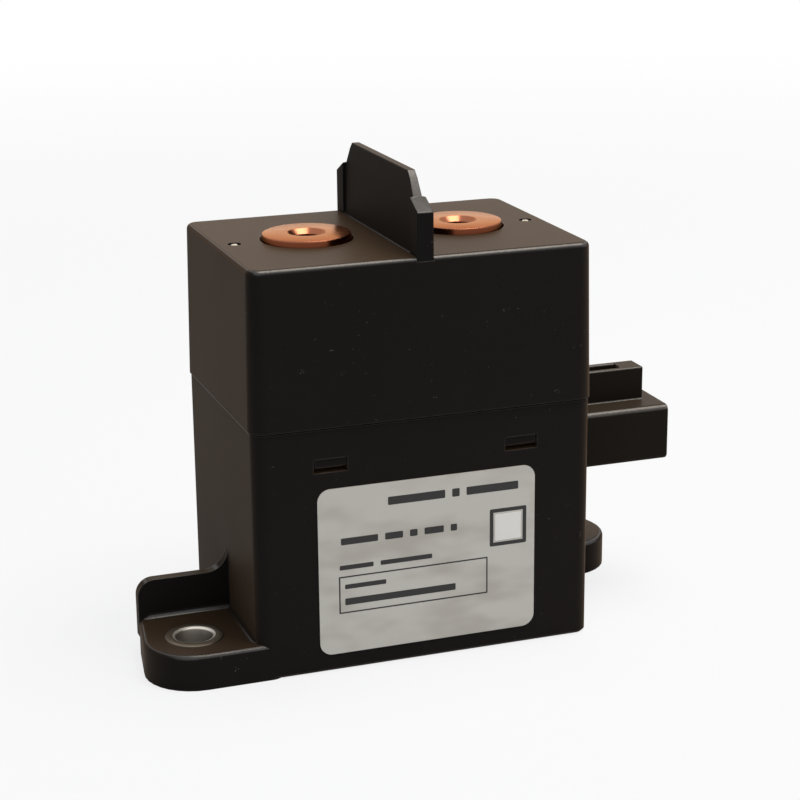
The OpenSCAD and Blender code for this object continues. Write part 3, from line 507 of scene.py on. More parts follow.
@dataclass(frozen=True)
class TurnedMetal:
    """Metal faced on a lathe, with fine rings round an upright axis and painted shade on its upright
    side.
    """

    name: str
    centre: tuple[float, float]
    colour: Colour
    stain: Colour
    roughness: float = 0.24
    ring_mm: float = 0.16
    ring_depth_mm: float = 0.0015
    wobble_mm: float = 2.5
    wobble: float = 0.15
    cloud_mm: float = 5.0
    scratch_mm: float = 0.5
    scratch_step: Step = (0.62, 0.1)
    scratch_height: float = 0.5
    stain_step: Step = (0.5, 0.25)
    stain_share: float = 0.35
    # Shares of the stains, the rings and the scratches in roughness
    rough_shares: tuple[float, float, float] = (0.12, 0.04, 0.06)
    edge_mm: float = 0.12
    top_step: Step = (0.1, 0.3)
    border_mm: float = 0.05
    # Darker tone painted on upright faces as shade and dim reflection
    side: Colour = linear(96, 48, 28)
    bore_mm: float = 0.0
    # Bore painted lighter as a reflection; the mouth chamfer painted near-white as a highlight
    bore_painted_reflection: Colour = linear(150, 145, 138)
    mouth_mm: float = 0.0
    mouth_painted_highlight: Colour = linear(226, 222, 214)
    gloss_tint: Colour = WHITE

    def material(self) -> bpy.types.Material:
        """Builds the metal.

        Returns:
            The material.
        """
        graph = Graph(self.name)
        radius = graph.radius_from(self.centre)
        wobble = graph.noise(self.wobble_mm) * self.wobble
        turn = radius * (math.tau / (self.ring_mm * MM)) + wobble
        rings = turn.sine() * 0.5 + 0.5
        cloud = graph.noise(self.cloud_mm, detail=4.0, roughness=0.6)
        drawn = graph.noise(self.scratch_mm, detail=3.0, stretch=(1.0, 0.06, 1.0))
        scratch = drawn.above(*self.scratch_step)
        stain = cloud.above(*self.stain_step) * self.stain_share
        colour = graph.mix(stain, self.colour, self.stain)
        # Upright faces take the darker tone as painted shade
        colour = graph.mix(graph.facing("Z").above(*self.top_step), self.side, colour)
        # The mouth takes a painted highlight and the bore a painted reflection
        if self.bore_mm:
            for reach, inner in (
                (self.mouth_mm, self.mouth_painted_highlight),
                (self.bore_mm, self.bore_painted_reflection),
            ):
                inside = radius.below(reach * MM, self.border_mm * MM)
                colour = graph.mix(inside, colour, inner)
        of_cloud, of_rings, of_scratch = self.rough_shares
        marks = rings + scratch * self.scratch_height
        graph.set(
            Base_Color=colour,
            Metallic=1.0,
            Specular_Tint=self.gloss_tint,
            Roughness=self.roughness + cloud * of_cloud + rings * of_rings + scratch * of_scratch,
            Normal=graph.bump(marks, self.ring_depth_mm, graph.soft_edges(self.edge_mm)),
        )
        return graph.material


@dataclass(frozen=True)
class SheetMetal:
    """Rolled, plated or drawn metal with a faint grain and handling marks."""

    name: str
    colour: Colour
    roughness: float = 0.32
    grain_mm: float = 0.4
    draw: tuple[float, float, float] = (0.08, 1.0, 1.0)
    cloud_mm: float = 6.0
    shade: float = 0.62
    # Shares of the grain and the clouds: in the darker tone and in roughness
    tone_shares: tuple[float, float] = (0.2, 0.6)
    rough_shares: tuple[float, float] = (0.12, 0.08)
    depth_mm: float = 0.004
    edge_mm: float = 0.1

    def material(self) -> bpy.types.Material:
        """Builds the metal.

        Returns:
            The material.
        """
        graph = Graph(self.name)
        grain = graph.noise(self.grain_mm, detail=3.0, stretch=self.draw)
        cloud = graph.noise(self.cloud_mm, detail=3.0)
        marks, uneven = (
            grain * of_grain + cloud * of_cloud
            for of_grain, of_cloud in (self.tone_shares, self.rough_shares)
        )
        darker = tuple(channel * self.shade for channel in self.colour)
        graph.set(
            Base_Color=graph.mix(marks, self.colour, darker),
            Metallic=1.0,
            Roughness=self.roughness + uneven,
            Normal=graph.bump(grain, self.depth_mm, graph.soft_edges(self.edge_mm)),
        )
        return graph.material


@dataclass(frozen=True)
class SilverFoil:
    """Matt silver label film with soft patches and a faint brushed grain."""

    name: str
    colour: Colour = linear(198, 196, 190)
    patch: Colour = linear(172, 167, 160)
    roughness: float = 0.36
    metallic: float = 0.35
    brush_mm: float = 0.35
    patch_mm: float = 9.0
    patch_step: Step = (0.42, 0.3)
    patch_share: float = 0.7
    grain_mm: float = 0.12
    depth_mm: float = 0.002

    def material(self) -> bpy.types.Material:
        """Builds the film.

        Returns:
            The material.
        """
        graph = Graph(self.name)
        brushed = graph.noise(self.brush_mm, detail=3.0, stretch=(0.03, 1.0, 1.0))
        patches = graph.noise(self.patch_mm, stretch=(0.7, 1.0, 1.6))
        fine = graph.noise(self.grain_mm, detail=1.0)
        dulled = patches.above(*self.patch_step) * self.patch_share
        graph.set(
            Base_Color=graph.mix(dulled, self.colour, self.patch),
            Metallic=self.metallic,
            Roughness=self.roughness + patches * 0.12 + brushed * 0.08,
            Normal=graph.bump(brushed * 0.7 + fine * 0.3, self.depth_mm),
        )
        return graph.material


@dataclass(frozen=True)
class DullSolid:
    """Ceramic, rubber, ink, ferrite and other plain bodies with a fine grain."""

    name: str
    colour: Colour
    roughness: float = 0.6
    grain_mm: float = 0.5
    depth_mm: float = 0.006
    contrast: float = 0.3
    cloud_ratio: float = 12.0
    edge_mm: float = 0.12

    def material(self) -> bpy.types.Material:
        """Builds the body.

        Returns:
            The material.
        """
        graph = Graph(self.name)
        grain = graph.noise(self.grain_mm, detail=3.0)
        cloud = graph.noise(self.grain_mm * self.cloud_ratio)
        darker = tuple(channel * (1 - self.contrast) for channel in self.colour)
        graph.set(
            Base_Color=graph.mix(cloud * 0.7 + grain * 0.3, self.colour, darker),
            Roughness=self.roughness + grain * 0.1,
            Normal=graph.bump(grain, self.depth_mm, graph.soft_edges(self.edge_mm)),
        )
        return graph.material


@dataclass(frozen=True)
class EnamelledWire:
    """Lacquered copper wire in rows, clear and glossy over the metal."""

    name: str
    colour: Colour = linear(150, 74, 34)
    shade: Colour = linear(98, 44, 20)
    turn_mm: float = 0.5
    metallic: float = 0.6
    roughness: float = 0.22
    lacquer: float = 0.4
    depth_mm: float = 0.02

    def material(self) -> bpy.types.Material:
        """Builds the wire's finish.

        Returns:
            The material.
        """
        graph = Graph(self.name)
        turns = graph.noise(self.turn_mm, stretch=(0.15, 0.15, 1.0))
        graph.set(
            Base_Color=graph.mix(turns, self.colour, self.shade),
            Metallic=self.metallic,
            Roughness=turns * 0.2 + self.roughness,
            Coat_Weight=turns * 0.3 + self.lacquer,
            Normal=graph.bump(turns, self.depth_mm),
        )
        return graph.material


class Skin(Enum):
    """The named finishes that more than one piece shares."""

    # The case's painted highlight and polish stop at 40 mm, below the cover seam
    CASE = MouldedPlastic("case_plastic", dust_share=0.2, highlight_and_polish_top_mm=40.0)
    COVER = MouldedPlastic("cover_plastic", dust_share=0.5)
    BARRIER = MouldedPlastic("barrier_plastic", specular=0.01, sheen=0.05, dust_share=0.3)
    # The connector's top tone is dust with painted top light
    CONNECTOR = MouldedPlastic(
        "connector_plastic", linear(26, 25, 23), roughness=0.48, top_dust_and_light=linear(38, 36, 32)
    )
    FOIL = SilverFoil("label_foil")
    INK = DullSolid("label_ink", linear(34, 32, 32), 0.5, 0.2, 0.001, 0.2)
    PALE = DullSolid("label_blank", linear(246, 246, 244), 0.45, 0.3, 0.001, 0.03)
    GATE = DullSolid("gate_stub", linear(214, 208, 196), 0.55, 0.2, 0.01, 0.25)
    BOBBIN = MouldedPlastic("bobbin_plastic", linear(42, 42, 45), roughness=0.42)
    SHIELD = DullSolid("shield_plastic", linear(222, 214, 196), 0.5, 0.4, 0.01, 0.12)
    CERAMIC = DullSolid("white_ceramic", linear(240, 237, 229), 0.42, 0.25, 0.008, 0.06)
    FERRITE = DullSolid("magnet_ferrite", linear(70, 70, 73), 0.6, 0.3, 0.01, 0.3)
    RUBBER = DullSolid("damper_rubber", linear(34, 34, 34), 0.75, 0.2, 0.008, 0.2)
    LEAD = DullSolid("lead_insulation", linear(150, 28, 24), 0.45, 0.6, 0.004, 0.15)
    STEEL = SheetMetal("frame_steel", linear(172, 172, 170))
    SEALING = SheetMetal("sealing_metal", linear(190, 186, 178), 0.3)
    ROD = SheetMetal("rod_steel", linear(198, 198, 200), 0.22, 0.3, (1.0, 1.0, 0.05))
    SPRING = SheetMetal("spring_wire", linear(188, 188, 192), 0.28, 0.3)
    PIN = SheetMetal("pin_metal", linear(206, 203, 196), 0.26, 0.3)
    COPPER = SheetMetal("plain_copper", linear(212, 138, 104), 0.3, 0.4)
    WIRE = EnamelledWire("enamelled_wire")

    @property
    def material(self) -> bpy.types.Material:
        """The finish's material, made when it is first asked for."""
        found = bpy.data.materials.get(self.value.name + "_look")
        if found is None:
            found = self.value.material()
            found.name = self.value.name + "_look"
        return found


def dress(piece: bpy.types.Object, material: bpy.types.Material) -> None:
    """Gives a piece one material in all its slots.

    Args:
        piece: a mesh object.
        material: its new material.
    """
    piece.data.materials.clear()
    piece.data.materials.append(material)


def add_piece(
    name: str,
    mesh: bpy.types.Mesh,
    material: bpy.types.Material,
    body: str = HOUSING,
) -> bpy.types.Object:
    """Links a mesh as a dressed piece that rides on a body.

    Args:
        name: the piece's name.
        mesh: its mesh, in the frame's own metres.
        material: its material.
        body: the body that carries it.

    Returns:
        The new object.
    """
    piece = bpy.data.objects.new(name, mesh)
    bpy.context.scene.collection.objects.link(piece)
    dress(piece, material)
    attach(piece, body)
    LOG.info("%s: %d faces on %s", name, len(mesh.polygons), body)
    return piece


def mesh_from(name: str, bm: bmesh.types.BMesh) -> bpy.types.Mesh:
    """Turns a bmesh into a mesh that is smooth except at sharp edges.

    Args:
        name: the mesh's name.
        bm: the bmesh, which is freed.

    Returns:
        The mesh.
    """
    bmesh.ops.recalc_face_normals(bm, faces=bm.faces)
    mesh = bpy.data.meshes.new(name)
    bm.to_mesh(mesh)
    bm.free()
    mesh.shade_smooth()
    mesh.set_sharp_from_angle(angle=math.radians(SHARP_DEG))
    return mesh


def lathe(
    name: str,
    rows: Sequence[tuple[float, float, float]],
    centre: Sequence[float],
    segments: int,
    pitch: float = 1.0,
) -> bpy.types.Mesh:
    """Turns a closed outline round an upright axis, with a thread where a row asks for it.

    Args:
        name: the mesh's name.
        rows: radius, height and thread depth of each point, in metres.
        centre: the axis's place.
        segments: how many steps make a full turn.
        pitch: the thread's pitch in metres; it has no effect on rows without a thread.

    Returns:
        The turned mesh.
    """
    bm = bmesh.new()
    rings: list[list[bmesh.types.BMVert]] = []
    for radius, height, depth in rows:
        if radius == 0:
            rings.append([bm.verts.new((centre[0], centre[1], height))])
            continue
        ring = []
        for step in range(segments):
            share = step / segments
            phase = (height / pitch + share) % 1.0
            reach = radius + depth * (1 - abs(2 * phase - 1))
            angle = math.tau * share
            ring.append(
                bm.verts.new(
                    (
                        centre[0] + reach * math.cos(angle),
                        centre[1] + reach * math.sin(angle),
                        height,
                    )
                )
            )
        rings.append(ring)
    pairs = list(zip(rings, rings[1:]))
    if len(rings[0]) > 1 and len(rings[-1]) > 1:
        pairs.append((rings[-1], rings[0]))
    for lower, upper in pairs:
        for step in range(segments):
            following = (step + 1) % segments
            corners = [
                lower[step % len(lower)],
                lower[following % len(lower)],
                upper[following % len(upper)],
                upper[step % len(upper)],
            ]
            unique = list(dict.fromkeys(corners))
            if len(unique) > 2:
                bm.faces.new(unique)
    return mesh_from(name, bm)


def add_softened(node: str, name: str, width_mm: float, skin: Skin) -> None:
    """Copies a solid with its sharp edges rounded by a real bevel and stands for it.

    Args:
        node: the CAD node's name.
        name: the new piece's name.
        width_mm: the bevel's width in millimetres.
        skin: its finish.
    """
    bm = bmesh.new()
    bm.from_mesh(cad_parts[node].data)
    bmesh.ops.remove_doubles(bm, verts=bm.verts, dist=WELD)
    bmesh.ops.dissolve_limit(
        bm, angle_limit=math.radians(FLAT_DEG), verts=bm.verts, edges=bm.edges, delimit=set()
    )
    piece = add_piece(name, mesh_from(name, bm), skin.material)
    bevel = piece.modifiers.new("edge", "BEVEL")
    bevel.width = width_mm * MM
    bevel.segments = BEVEL_STEPS
    bevel.limit_method = "ANGLE"
    bevel.angle_limit = math.radians(BEVEL_DEG)
    bevel.use_clamp_overlap = True
    bevel.miter_outer = "MITER_ARC"
    weighted = piece.modifiers.new("flat_faces", "WEIGHTED_NORMAL")
    weighted.keep_sharp = True
    evaluated = piece.evaluated_get(bpy.context.evaluated_depsgraph_get())
    rounded = bpy.data.meshes.new_from_object(evaluated)
    piece.modifiers.clear()
    piece.data = rounded
    dress(piece, skin.material)
    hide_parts(node)


@dataclass
class Shells:
    """The case, the cover and the barrier between the terminals."""

    case_edge_mm: float = 0.25
    cover_edge_mm: float = 0.22
    barrier_edge_mm: float = 0.25

    def build(self) -> None:
        """Rounds the mouldings' edges and gives them their plastic."""
        for node, name, width_mm, skin, slot in (
            ("lower_case", "case_moulding", self.case_edge_mm, Skin.CASE, "case_plastic"),
            ("upper_cover", "cover_moulding", self.cover_edge_mm, Skin.COVER, "cover_plastic"),
            ("arc_barrier", "barrier_moulding", self.barrier_edge_mm, Skin.BARRIER, "cover_plastic"),
        ):
            add_softened(node, name, width_mm, skin)


@dataclass
class GateStubs:
    """The short pale stubs left by the moulding gates, in the two dimples of the cover."""

    reach: float = 27.4 * MM
    segments: int = 32
    # Radius and depth below the cover's top, in millimetres
    outline_mm: tuple[tuple[float, float], ...] = (
        (0.0, 1.45), (0.72, 1.45), (0.62, 0.22), (0.5, 0.08), (0.24, 0.02), (0.0, 0.04),
    )

    def build(self) -> None:
        """Turns both stubs."""
        _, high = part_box("upper_cover")
        rows = [(radius * MM, high.z - depth * MM, 0.0) for radius, depth in self.outline_mm]
        for side, sign in (("left", -1), ("right", 1)):
            mesh = lathe(f"gate_stub_{side}", rows, (sign * self.reach, 0.0), self.segments)
            add_piece(f"gate_stub_{side}", mesh, Skin.GATE.material)


@dataclass
class FootFillets:
    """The hollow roundings where a foot's plate meets its rib and the case.

    The faces of the plate, the ribs and the case lie inside the solid's box, so their places
    are named here as the source has them.
    """

    radius: float = 1.0 * MM
    end_radius: float = 0.2 * MM
    taper: float = 1.2 * MM
    sunk: float = 0.15 * MM
    plate_top: float = 6.5 * MM
    case_x: float = 31.19 * MM
    rib_end: float = 47.1 * MM
    arc_steps: int = 8
    # Name, side of the case, the rib's front face and where the fillet ends in front
    feet: tuple[tuple[str, int, float, float], ...] = (
        ("left", -1, -2.8 * MM, -20.3 * MM),
        ("right", 1, 20.19 * MM, 5.3 * MM),
    )

    def ring(self, place: Vector, inward: Vector, radius: float) -> list[Vector]:
        """Points round the fillet's section at one place of its path.

        Args:
            place: where the upright face meets the plate.
            inward: level direction away from the upright face.
            radius: the fillet's radius there.

        Returns:
            The section's points.
        """
        up = Vector((0.0, 0.0, 1.0))
        centre = place + (inward + up) * radius
        arc = [
            centre - (inward * math.cos(angle) + up * math.sin(angle)) * radius
            for angle in (math.pi / 2 * step / self.arc_steps for step in range(self.arc_steps + 1))
        ]
        back, below = inward * self.sunk, up * self.sunk
        return arc + [arc[-1] - below, place - back - below, arc[0] - back]

    def build(self) -> None:
        """Sweeps both fillets round the corner between rib and case."""
        for side, sign, rib_y, front_y in self.feet:
            wall_x = sign * self.case_x
            end_x = sign * self.rib_end
            from_rib, from_wall = Vector((0.0, -1.0, 0.0)), Vector((sign, 0.0, 0.0))
            path = (
                (end_x, rib_y, from_rib, self.end_radius),
                (end_x - sign * self.taper, rib_y, from_rib, self.radius),
                (wall_x, rib_y, from_rib + from_wall, self.radius),
                (wall_x, front_y + self.taper, from_wall, self.radius),
                (wall_x, front_y, from_wall, self.end_radius),
            )
            bm = bmesh.new()
            rings = [
                [
                    bm.verts.new(point)
                    for point in self.ring(Vector((x, y, self.plate_top)), inward, radius)
                ]
                for x, y, inward, radius in path
            ]
            for before, after in zip(rings, rings[1:]):
                for index in range(len(before)):
                    other = (index + 1) % len(before)
                    bm.faces.new((before[index], before[other], after[other], after[index]))
            bm.faces.new(rings[0])
            bm.faces.new(rings[-1])
            name = f"foot_fillet_{side}"
            add_piece(name, mesh_from(name, bm), Skin.CASE.material)


@dataclass
class Bushings:
    """The turned steel bushings in the two feet."""

    bore_radius: float = 3.25 * MM
    chamfer: float = 0.5 * MM
    bore_margin_mm: float = 0.04
    segments: int = 96

    def build(self) -> None:
        """Turns both bushings."""
        for side in ("left", "right"):
            node = f"foot_bushing_{side}"
            low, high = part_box(node)
            centre = (low + high) / 2
            radius = (high.x - low.x) / 2
            half = self.chamfer / 2
            rows = [
                (self.bore_radius + self.chamfer, low.z, 0.0),
                (radius - half, low.z, 0.0),
                (radius, low.z + half, 0.0),
                (radius, high.z - half, 0.0),
                (radius - half / 4, high.z - half / 4, 0.0),
                (radius - half, high.z, 0.0),
                (self.bore_radius + self.chamfer, high.z, 0.0),
                (self.bore_radius + self.chamfer / 4, high.z - self.chamfer / 3, 0.0),
                (self.bore_radius, high.z - self.chamfer, 0.0),
                (self.bore_radius, low.z + self.chamfer, 0.0),
            ]
            mesh = lathe(f"bushing_{side}", rows, centre, self.segments)
            finish = TurnedMetal(
                f"bushing_steel_{side}",
                (centre.x, centre.y),
                linear(112, 104, 94),
                linear(88, 81, 72),
                roughness=0.34,
                # Upright side darker as painted shade
                side=linear(84, 77, 68),
                # Painted highlight on the mouth chamfer and painted reflection in the bore
                bore_mm=self.bore_radius / MM + self.bore_margin_mm,
                mouth_mm=(self.bore_radius + self.chamfer) / MM,
                gloss_tint=(0.7, 0.66, 0.6),
            )
            piece = add_piece(f"bushing_{side}", mesh, finish.material())
            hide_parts(node)


@dataclass
class Terminals:
    """The two copper terminals with a cut thread in their holes.

    The box gives a disc's width and height; the other sizes are those of the source.
    """

    disc_height: float = 7.7 * MM
    neck_radius: float = 5.0 * MM
    hole_radius: float = 2.5 * MM
    hole_depth: float = 12.0 * MM
    sink_radius: float = 3.4 * MM
    chamfer: float = 0.35 * MM
    pitch: float = 1.0 * MM
    thread_depth: float = 0.45 * MM
    rows_per_turn: int = 8
    segments: int = 96

    def outline(self, low: Vector, high: Vector) -> list[tuple[float, float, float]]:
        """Outline of a terminal, from its lower face round to its threaded hole.

        Args:
            low: the solid's lowest corner.
            high: its highest corner.

        Returns:
            Radius, height and thread depth of each point.
        """
        disc_radius = (high.x - low.x) / 2
        sink = self.sink_radius - self.hole_radius
        step = self.chamfer
        points = [
            (0.0, low.z, 0.0),
            (self.neck_radius - step, low.z, 0.0),
            (self.neck_radius, low.z + step, 0.0),
            (self.neck_radius, high.z - self.disc_height, 0.0),
            (disc_radius, high.z - self.disc_height, 0.0),
            (disc_radius, high.z - step, 0.0),
            (disc_radius - step / 4, high.z - step / 3, 0.0),
            (disc_radius - step, high.z, 0.0),
            (self.sink_radius, high.z, 0.0),
            (self.hole_radius, high.z - sink, 0.0),
        ]
        bottom = high.z - self.hole_depth
        top = high.z - sink
        turns = round((top - bottom) / self.pitch)
        count = turns * self.rows_per_turn
        for index in range(1, count):
            share = index / count
            fade = min(1.0, share * turns, (1 - share) * turns)
            points.append(
                (self.hole_radius, top + (bottom - top) * share, self.thread_depth * fade)
            )
        return points + [(self.hole_radius, bottom, 0.0), (0.0, bottom, 0.0)]

    def build(self) -> None:
        """Turns both terminals and gives them their copper."""
        for side in ("left", "right"):
            node = f"terminal_{side}"
            low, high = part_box(node)
            centre = (low + high) / 2
            name = f"terminal_copper_{side}"
            mesh = lathe(name, self.outline(low, high), centre, self.segments, self.pitch)
            finish = TurnedMetal(
                f"terminal_face_{side}",
                (centre.x, centre.y),
                linear(158, 100, 75),
                linear(134, 78, 54),
                roughness=0.16,
                gloss_tint=(0.9, 0.72, 0.56),
            )
            piece = add_piece(name, mesh, finish.material())
            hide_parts(node)


@dataclass(frozen=True)
class Field:
    """One printed field on the label, in millimetres from the label's lower left corner."""

    left: float
    low: float
    width: float
    height: float
    line: float = 0.0
    corner: float = 0.2
    skin: Skin = Skin.INK
    lift: float = 0.012


@dataclass
class Label:
    """The silver label with its plain printed fields."""

    # Left end, low edge and height of each row of bars, and the bars' widths
    bar_rows: tuple[tuple[float, float, float, tuple[float, ...]], ...] = (
        (12.8, 26.4, 1.5, (10.6, 1.4, 9.8)),
        (4.1, 20.1, 1.25, (6.8, 3.3, 1.4, 3.6, 1.2)),
        (3.8, 15.5, 0.85, (6.2, 9.6)),
        (4.7, 11.9, 0.85, (7.6,)),
        (4.7, 8.9, 1.25, (20.6,)),
    )
    gap: float = 1.3
    box: Field = Field(3.6, 7.4, 27.8, 6.9, line=0.26, corner=0.1)
    square: Field = Field(31.8, 16.1, 7.0, 7.0, line=0.7, corner=0.3)
    blank: Field = Field(32.8, 17.1, 5.0, 5.0, corner=0.3, skin=Skin.PALE)
    arc_steps: int = 6
    least_corner: float = 0.02

    def fields(self) -> list[Field]:
        """Lists the printed fields: bars, the box round two of them, and a blank framed square.

        Returns:
            The fields.
        """
        found = [self.box, self.square, self.blank]
        for left, low, height, widths in self.bar_rows:
            for width in widths:
                found.append(Field(left, low, width, height))
                left += width + self.gap
        return found

    def outline(self, entry: Field, inset: float) -> list[tuple[float, float]]:
        """Points round a field with rounded corners.

        Args:
            entry: the field.
            inset: how far inside its edge the points lie.

        Returns:
            The points in millimetres on the label.
        """
        radius = max(entry.corner - inset, self.least_corner)
        right, top = entry.left + entry.width, entry.low + entry.height
        centres = (
            (right - inset - radius, top - inset - radius, 0),
            (entry.left + inset + radius, top - inset - radius, 90),
            (entry.left + inset + radius, entry.low + inset + radius, 180),
            (right - inset - radius, entry.low + inset + radius, 270),
        )
        steps = self.arc_steps
        return [
            (
                x + radius * math.cos(math.radians(start + 90 * step / steps)),
                z + radius * math.sin(math.radians(start + 90 * step / steps)),
            )
            for x, z, start in centres
            for step in range(steps + 1)
        ]

    def print_mesh(self, skin: Skin, corner: Vector, face_y: float) -> bpy.types.Mesh:
        """One thin mesh with every field of a colour.

        Args:
            skin: the finish whose fields it holds.
            corner: the label's lower left corner.
            face_y: the place of the label's face.

        Returns:
            The mesh.
        """
        bm = bmesh.new()
        for entry in self.fields():
            if entry.skin is not skin:
                continue
            loops = [self.outline(entry, 0.0)]
            if entry.line:
                loops.append(self.outline(entry, entry.line))
            y = face_y - entry.lift * MM
            rings = [
                [
                    bm.verts.new((corner.x + x * MM, depth, corner.z + z * MM))
                    for x, z in loop
                ]
                for loop in loops
                for depth in (y, face_y)
            ]
            count = len(rings[0])
            pairs = [(rings[0], rings[1])]
            if entry.line:
                pairs += [(rings[2], rings[3]), (rings[0], rings[2]), (rings[1], rings[3])]
            else:
                bm.faces.new(rings[0])
                bm.faces.new(rings[1])
            for outer, inner in pairs:
                for index in range(count):
                    after = (index + 1) % count
                    bm.faces.new((outer[index], outer[after], inner[after], inner[index]))
        return mesh_from(f"label_{skin.name.lower()}", bm)

    def build(self) -> None:
        """Dresses the label and prints its fields."""
        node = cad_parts["rating_label"]
        dress(node, Skin.FOIL.material)
        low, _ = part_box("rating_label")
        for skin in (Skin.INK, Skin.PALE):
            mesh = self.print_mesh(skin, low, low.y)
            add_piece(f"label_print_{skin.name.lower()}", mesh, skin.material)


@dataclass
class Connector:
    """The coil connector on the right side."""

    edge_mm: float = 0.25

    def build(self) -> None:
        """Rounds the housing's edges and dresses its pins and leads."""
        add_softened(
            "connector_housing",
            "connector_moulding",
            self.edge_mm,
            Skin.CONNECTOR,
        )
        for side in ("front", "back"):
            dress(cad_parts[f"coil_pin_{side}"], Skin.PIN.material)
            dress(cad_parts[f"coil_lead_{side}"], Skin.LEAD.material)


@dataclass
class InnerWorks:
    """What the sealed case holds: chamber, magnets, coil, plunger and contacts."""

    finishes: tuple[tuple[Skin, tuple[str, ...]], ...] = (
        (Skin.SEALING, ("terminal_collar_left", "terminal_collar_right")),
        (Skin.SEALING, ("chamber_skirt", "plunger_sleeve")),
        (Skin.CERAMIC, ("ceramic_chamber",)),
        (Skin.SHIELD, ("arc_shield",)),
        (Skin.FERRITE, ("magnet_front", "magnet_back")),
        (Skin.STEEL, ("magnet_band", "top_plate", "u_frame", "yoke_bush")),
        (Skin.STEEL, ("fixed_core", "moving_core", "spring_seat")),
        (Skin.COPPER, ("exhaust_tube", "contact_bridge")),
        (Skin.BOBBIN, ("coil_bobbin",)),
        (Skin.WIRE, ("coil_winding",)),
        (Skin.RUBBER, ("damper_pad",)),
        (Skin.ROD, ("push_rod",)),
        (Skin.SPRING, ("rod_clip",)),
    )

    def build(self) -> None:
        """Dresses every inner solid."""
        for skin, nodes in self.finishes:
            for node in nodes:
                dress(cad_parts[node], skin.material)
                LOG.info("%s: %s", node, skin.value.name)


@dataclass(frozen=True)
class Spring:
    """One compression spring: its solid, what carries it and how it shortens.

    The end that stays put and the travel are those of the record's deforming nodes.
    """

    node: str
    body: str
    joint: str
    fixed_z_mm: float
    travel_mm: float

    def build(self) -> None:
        """Copies the solid into a piece that rides on its body."""
        low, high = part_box(self.node)
        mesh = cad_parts[self.node].data.copy()
        piece = add_piece(
            f"live_{self.node}", mesh, Skin.SPRING.material, self.body
        )
        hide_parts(self.node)
        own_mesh(piece)


@dataclass
class Springs:
    """The return spring round the rod and the contact spring under the bridge."""

    parts: tuple[Spring, ...] = (
        Spring("return_spring", HOUSING, "plunger_slide", 29.5, 2.3),
        Spring("contact_spring", "plunger", "bridge_overtravel", 41.0, 0.55),
    )

    def build(self) -> None:
        """Builds both springs."""
        for spring in self.parts:
            spring.build()


@dataclass(frozen=True)
class Lamp:
    """One soft rectangular light that faces the part."""

    name: str
    place: tuple[float, float, float]
    size: float
    power: float
    colour: Colour = WHITE


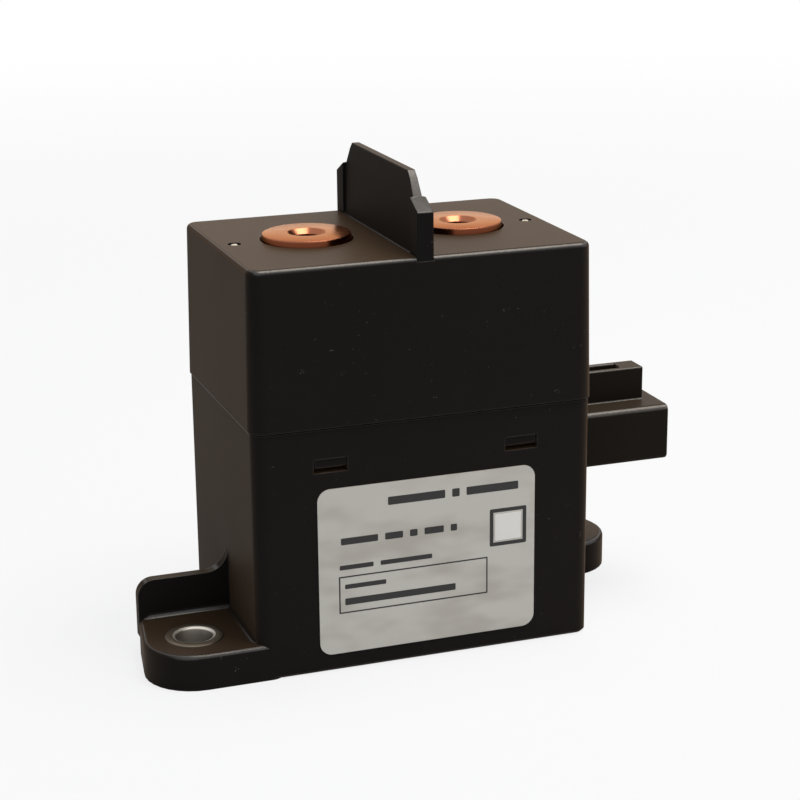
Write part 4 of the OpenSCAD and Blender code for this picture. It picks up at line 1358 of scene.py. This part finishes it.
@dataclass
class Studio:
    """Pale floor, soft light and the camera at the photo's angle."""

    target: tuple[float, float, float] = (0.0, 0.0, 0.035)
    lamps: tuple[Lamp, ...] = (
        Lamp("top_light", (0.22, -0.08, 0.85), 0.6, 8.0, (1.0, 0.89, 0.77)),
        Lamp("back_light", (0.42, 1.2, 0.5), 1.0, 1.2, (1.0, 0.7, 0.42)),
    )
    floor_reach: float = 6.0
    floor_drop: float = 0.02 * MM
    floor_colour: Colour = linear(214, 224, 236)
    floor_glow: float = 0.8
    glow_start: float = 0.2
    glow_full: float = 0.9
    world_light: float = 0.3
    world_colour: Colour = (1.0, 0.98, 0.95)
    focal_px: float = 2062.0
    image_px: float = 800.0
    sensor_mm: float = 36.0
    clip_start: float = 0.01
    azimuth_deg: float = 19.41
    elevation_deg: float = 16.71
    roll_deg: float = -0.58
    camera_place: tuple[float, float, float] = (-0.11725, -0.34091, 0.14976)

    def build(self) -> None:
        """Sets the whole studio up."""
        self.add_world()
        self.add_floor()
        for lamp in self.lamps:
            self.add_lamp(lamp)
        self.add_camera()
        bpy.context.scene.view_settings.view_transform = "Standard"

    def seen(self, nodes: Nodes) -> Wire:
        """Whether a ray comes from the camera, a mirror or clear glass.

        Args:
            nodes: the node tree that asks.

        Returns:
            A value that is 1 for these rays.
        """
        path = nodes.node("ShaderNodeLightPath", {}, {})
        camera, glossy, clear = (
            Wire(nodes, path.outputs[name])
            for name in ("Is Camera Ray", "Is Glossy Ray", "Is Transmission Ray")
        )
        return camera.larger(glossy).larger(clear)

    def add_world(self) -> None:
        """White where the camera or a mirror sees it, and a dimmer even light elsewhere."""
        world = bpy.data.worlds.new("studio")
        nodes = Nodes(world)
        dim = nodes.node(
            "ShaderNodeBackground",
            {},
            {"Color": self.world_colour, "Strength": self.world_light},
        )
        white = nodes.node("ShaderNodeBackground", {}, {"Color": WHITE, "Strength": 1.0})
        mixer = nodes.node(
            "ShaderNodeMixShader",
            {},
            {0: self.seen(nodes), 1: dim.outputs[0], 2: white.outputs[0]},
        )
        nodes.node("ShaderNodeOutputWorld", {}, {"Surface": mixer.outputs[0]})
        bpy.context.scene.world = world

    def add_floor(self) -> None:
        """A pale floor that keeps the part's shadow and turns white with distance."""
        bm = bmesh.new()
        bm.faces.new(
            [
                bm.verts.new((x * self.floor_reach, y * self.floor_reach, -self.floor_drop))
                for x, y in ((-1, -1), (1, -1), (1, 1), (-1, 1))
            ]
        )
        mesh = bpy.data.meshes.new("floor")
        bm.to_mesh(mesh)
        bm.free()
        floor = bpy.data.objects.new("floor", mesh)
        bpy.context.scene.collection.objects.link(floor)
        material = bpy.data.materials.new("floor_paper")
        nodes = Nodes(material)
        place = nodes.node("ShaderNodeTexCoord", {}, {}).outputs["Object"]
        distance = nodes.vector("LENGTH", place)
        share = nodes.node(
            "ShaderNodeMapRange",
            {"interpolation_type": "SMOOTHSTEP"},
            {
                "Value": distance.outputs["Value"],
                "From Min": self.glow_start,
                "From Max": self.glow_full,
                "To Min": self.floor_glow,
            },
        )
        paper = nodes.node("ShaderNodeBsdfDiffuse", {}, {"Color": self.floor_colour})
        glow = nodes.node("ShaderNodeEmission", {}, {"Color": WHITE, "Strength": 1.0})
        mixer = nodes.node(
            "ShaderNodeMixShader",
            {},
            {
                0: self.seen(nodes) * Wire(nodes, share.outputs["Result"]),
                1: paper.outputs[0],
                2: glow.outputs[0],
            },
        )
        nodes.node("ShaderNodeOutputMaterial", {}, {"Surface": mixer.outputs[0]})
        mesh.materials.append(material)

    def add_lamp(self, lamp: Lamp) -> None:
        """Adds one soft light that faces the part.

        Args:
            lamp: its place, size, power and colour.
        """
        data = bpy.data.lights.new(lamp.name, "AREA")
        data.shape = "SQUARE"
        data.size = lamp.size
        data.energy = lamp.power
        data.color = lamp.colour
        light = bpy.data.objects.new(lamp.name, data)
        bpy.context.scene.collection.objects.link(light)
        place = Vector(lamp.place)
        aim = Vector(self.target) - place
        turn = aim.to_track_quat("-Z", "Y").to_matrix().to_4x4()
        light.matrix_world = Matrix.Translation(place) @ turn

    def add_camera(self) -> None:
        """Adds the camera at the place that was fitted to the photo."""
        azimuth, elevation, roll = (
            math.radians(angle) for angle in (self.azimuth_deg, self.elevation_deg, self.roll_deg)
        )
        ahead = Vector(
            (
                math.sin(azimuth) * math.cos(elevation),
                math.cos(azimuth) * math.cos(elevation),
                -math.sin(elevation),
            )
        )
        right = Vector((math.cos(azimuth), -math.sin(azimuth), 0.0))
        up = right.cross(ahead)
        tilted = right * math.cos(roll) + up * math.sin(roll)
        upright = up * math.cos(roll) - right * math.sin(roll)
        turn = Matrix((tilted, upright, -ahead)).transposed()
        data = bpy.data.cameras.new("camera")
        data.sensor_width = self.sensor_mm
        data.lens = self.focal_px / self.image_px * self.sensor_mm
        data.clip_start = self.clip_start
        camera = bpy.data.objects.new("camera", data)
        bpy.context.scene.collection.objects.link(camera)
        camera.matrix_world = Matrix.Translation(Vector(self.camera_place)) @ turn.to_4x4()
        bpy.context.scene.camera = camera


def main() -> None:
    """Builds each sub-assembly in order and reports it."""
    logging.basicConfig(level=logging.INFO, format="%(message)s")
    steps: tuple[Callable[[], None], ...] = (
        Studio().build,
        Shells().build,
        GateStubs().build,
        FootFillets().build,
        Bushings().build,
        Terminals().build,
        Label().build,
        Connector().build,
        InnerWorks().build,
        Springs().build,
    )
    for step in steps:
        step()


if __name__ == "__main__":
    main()
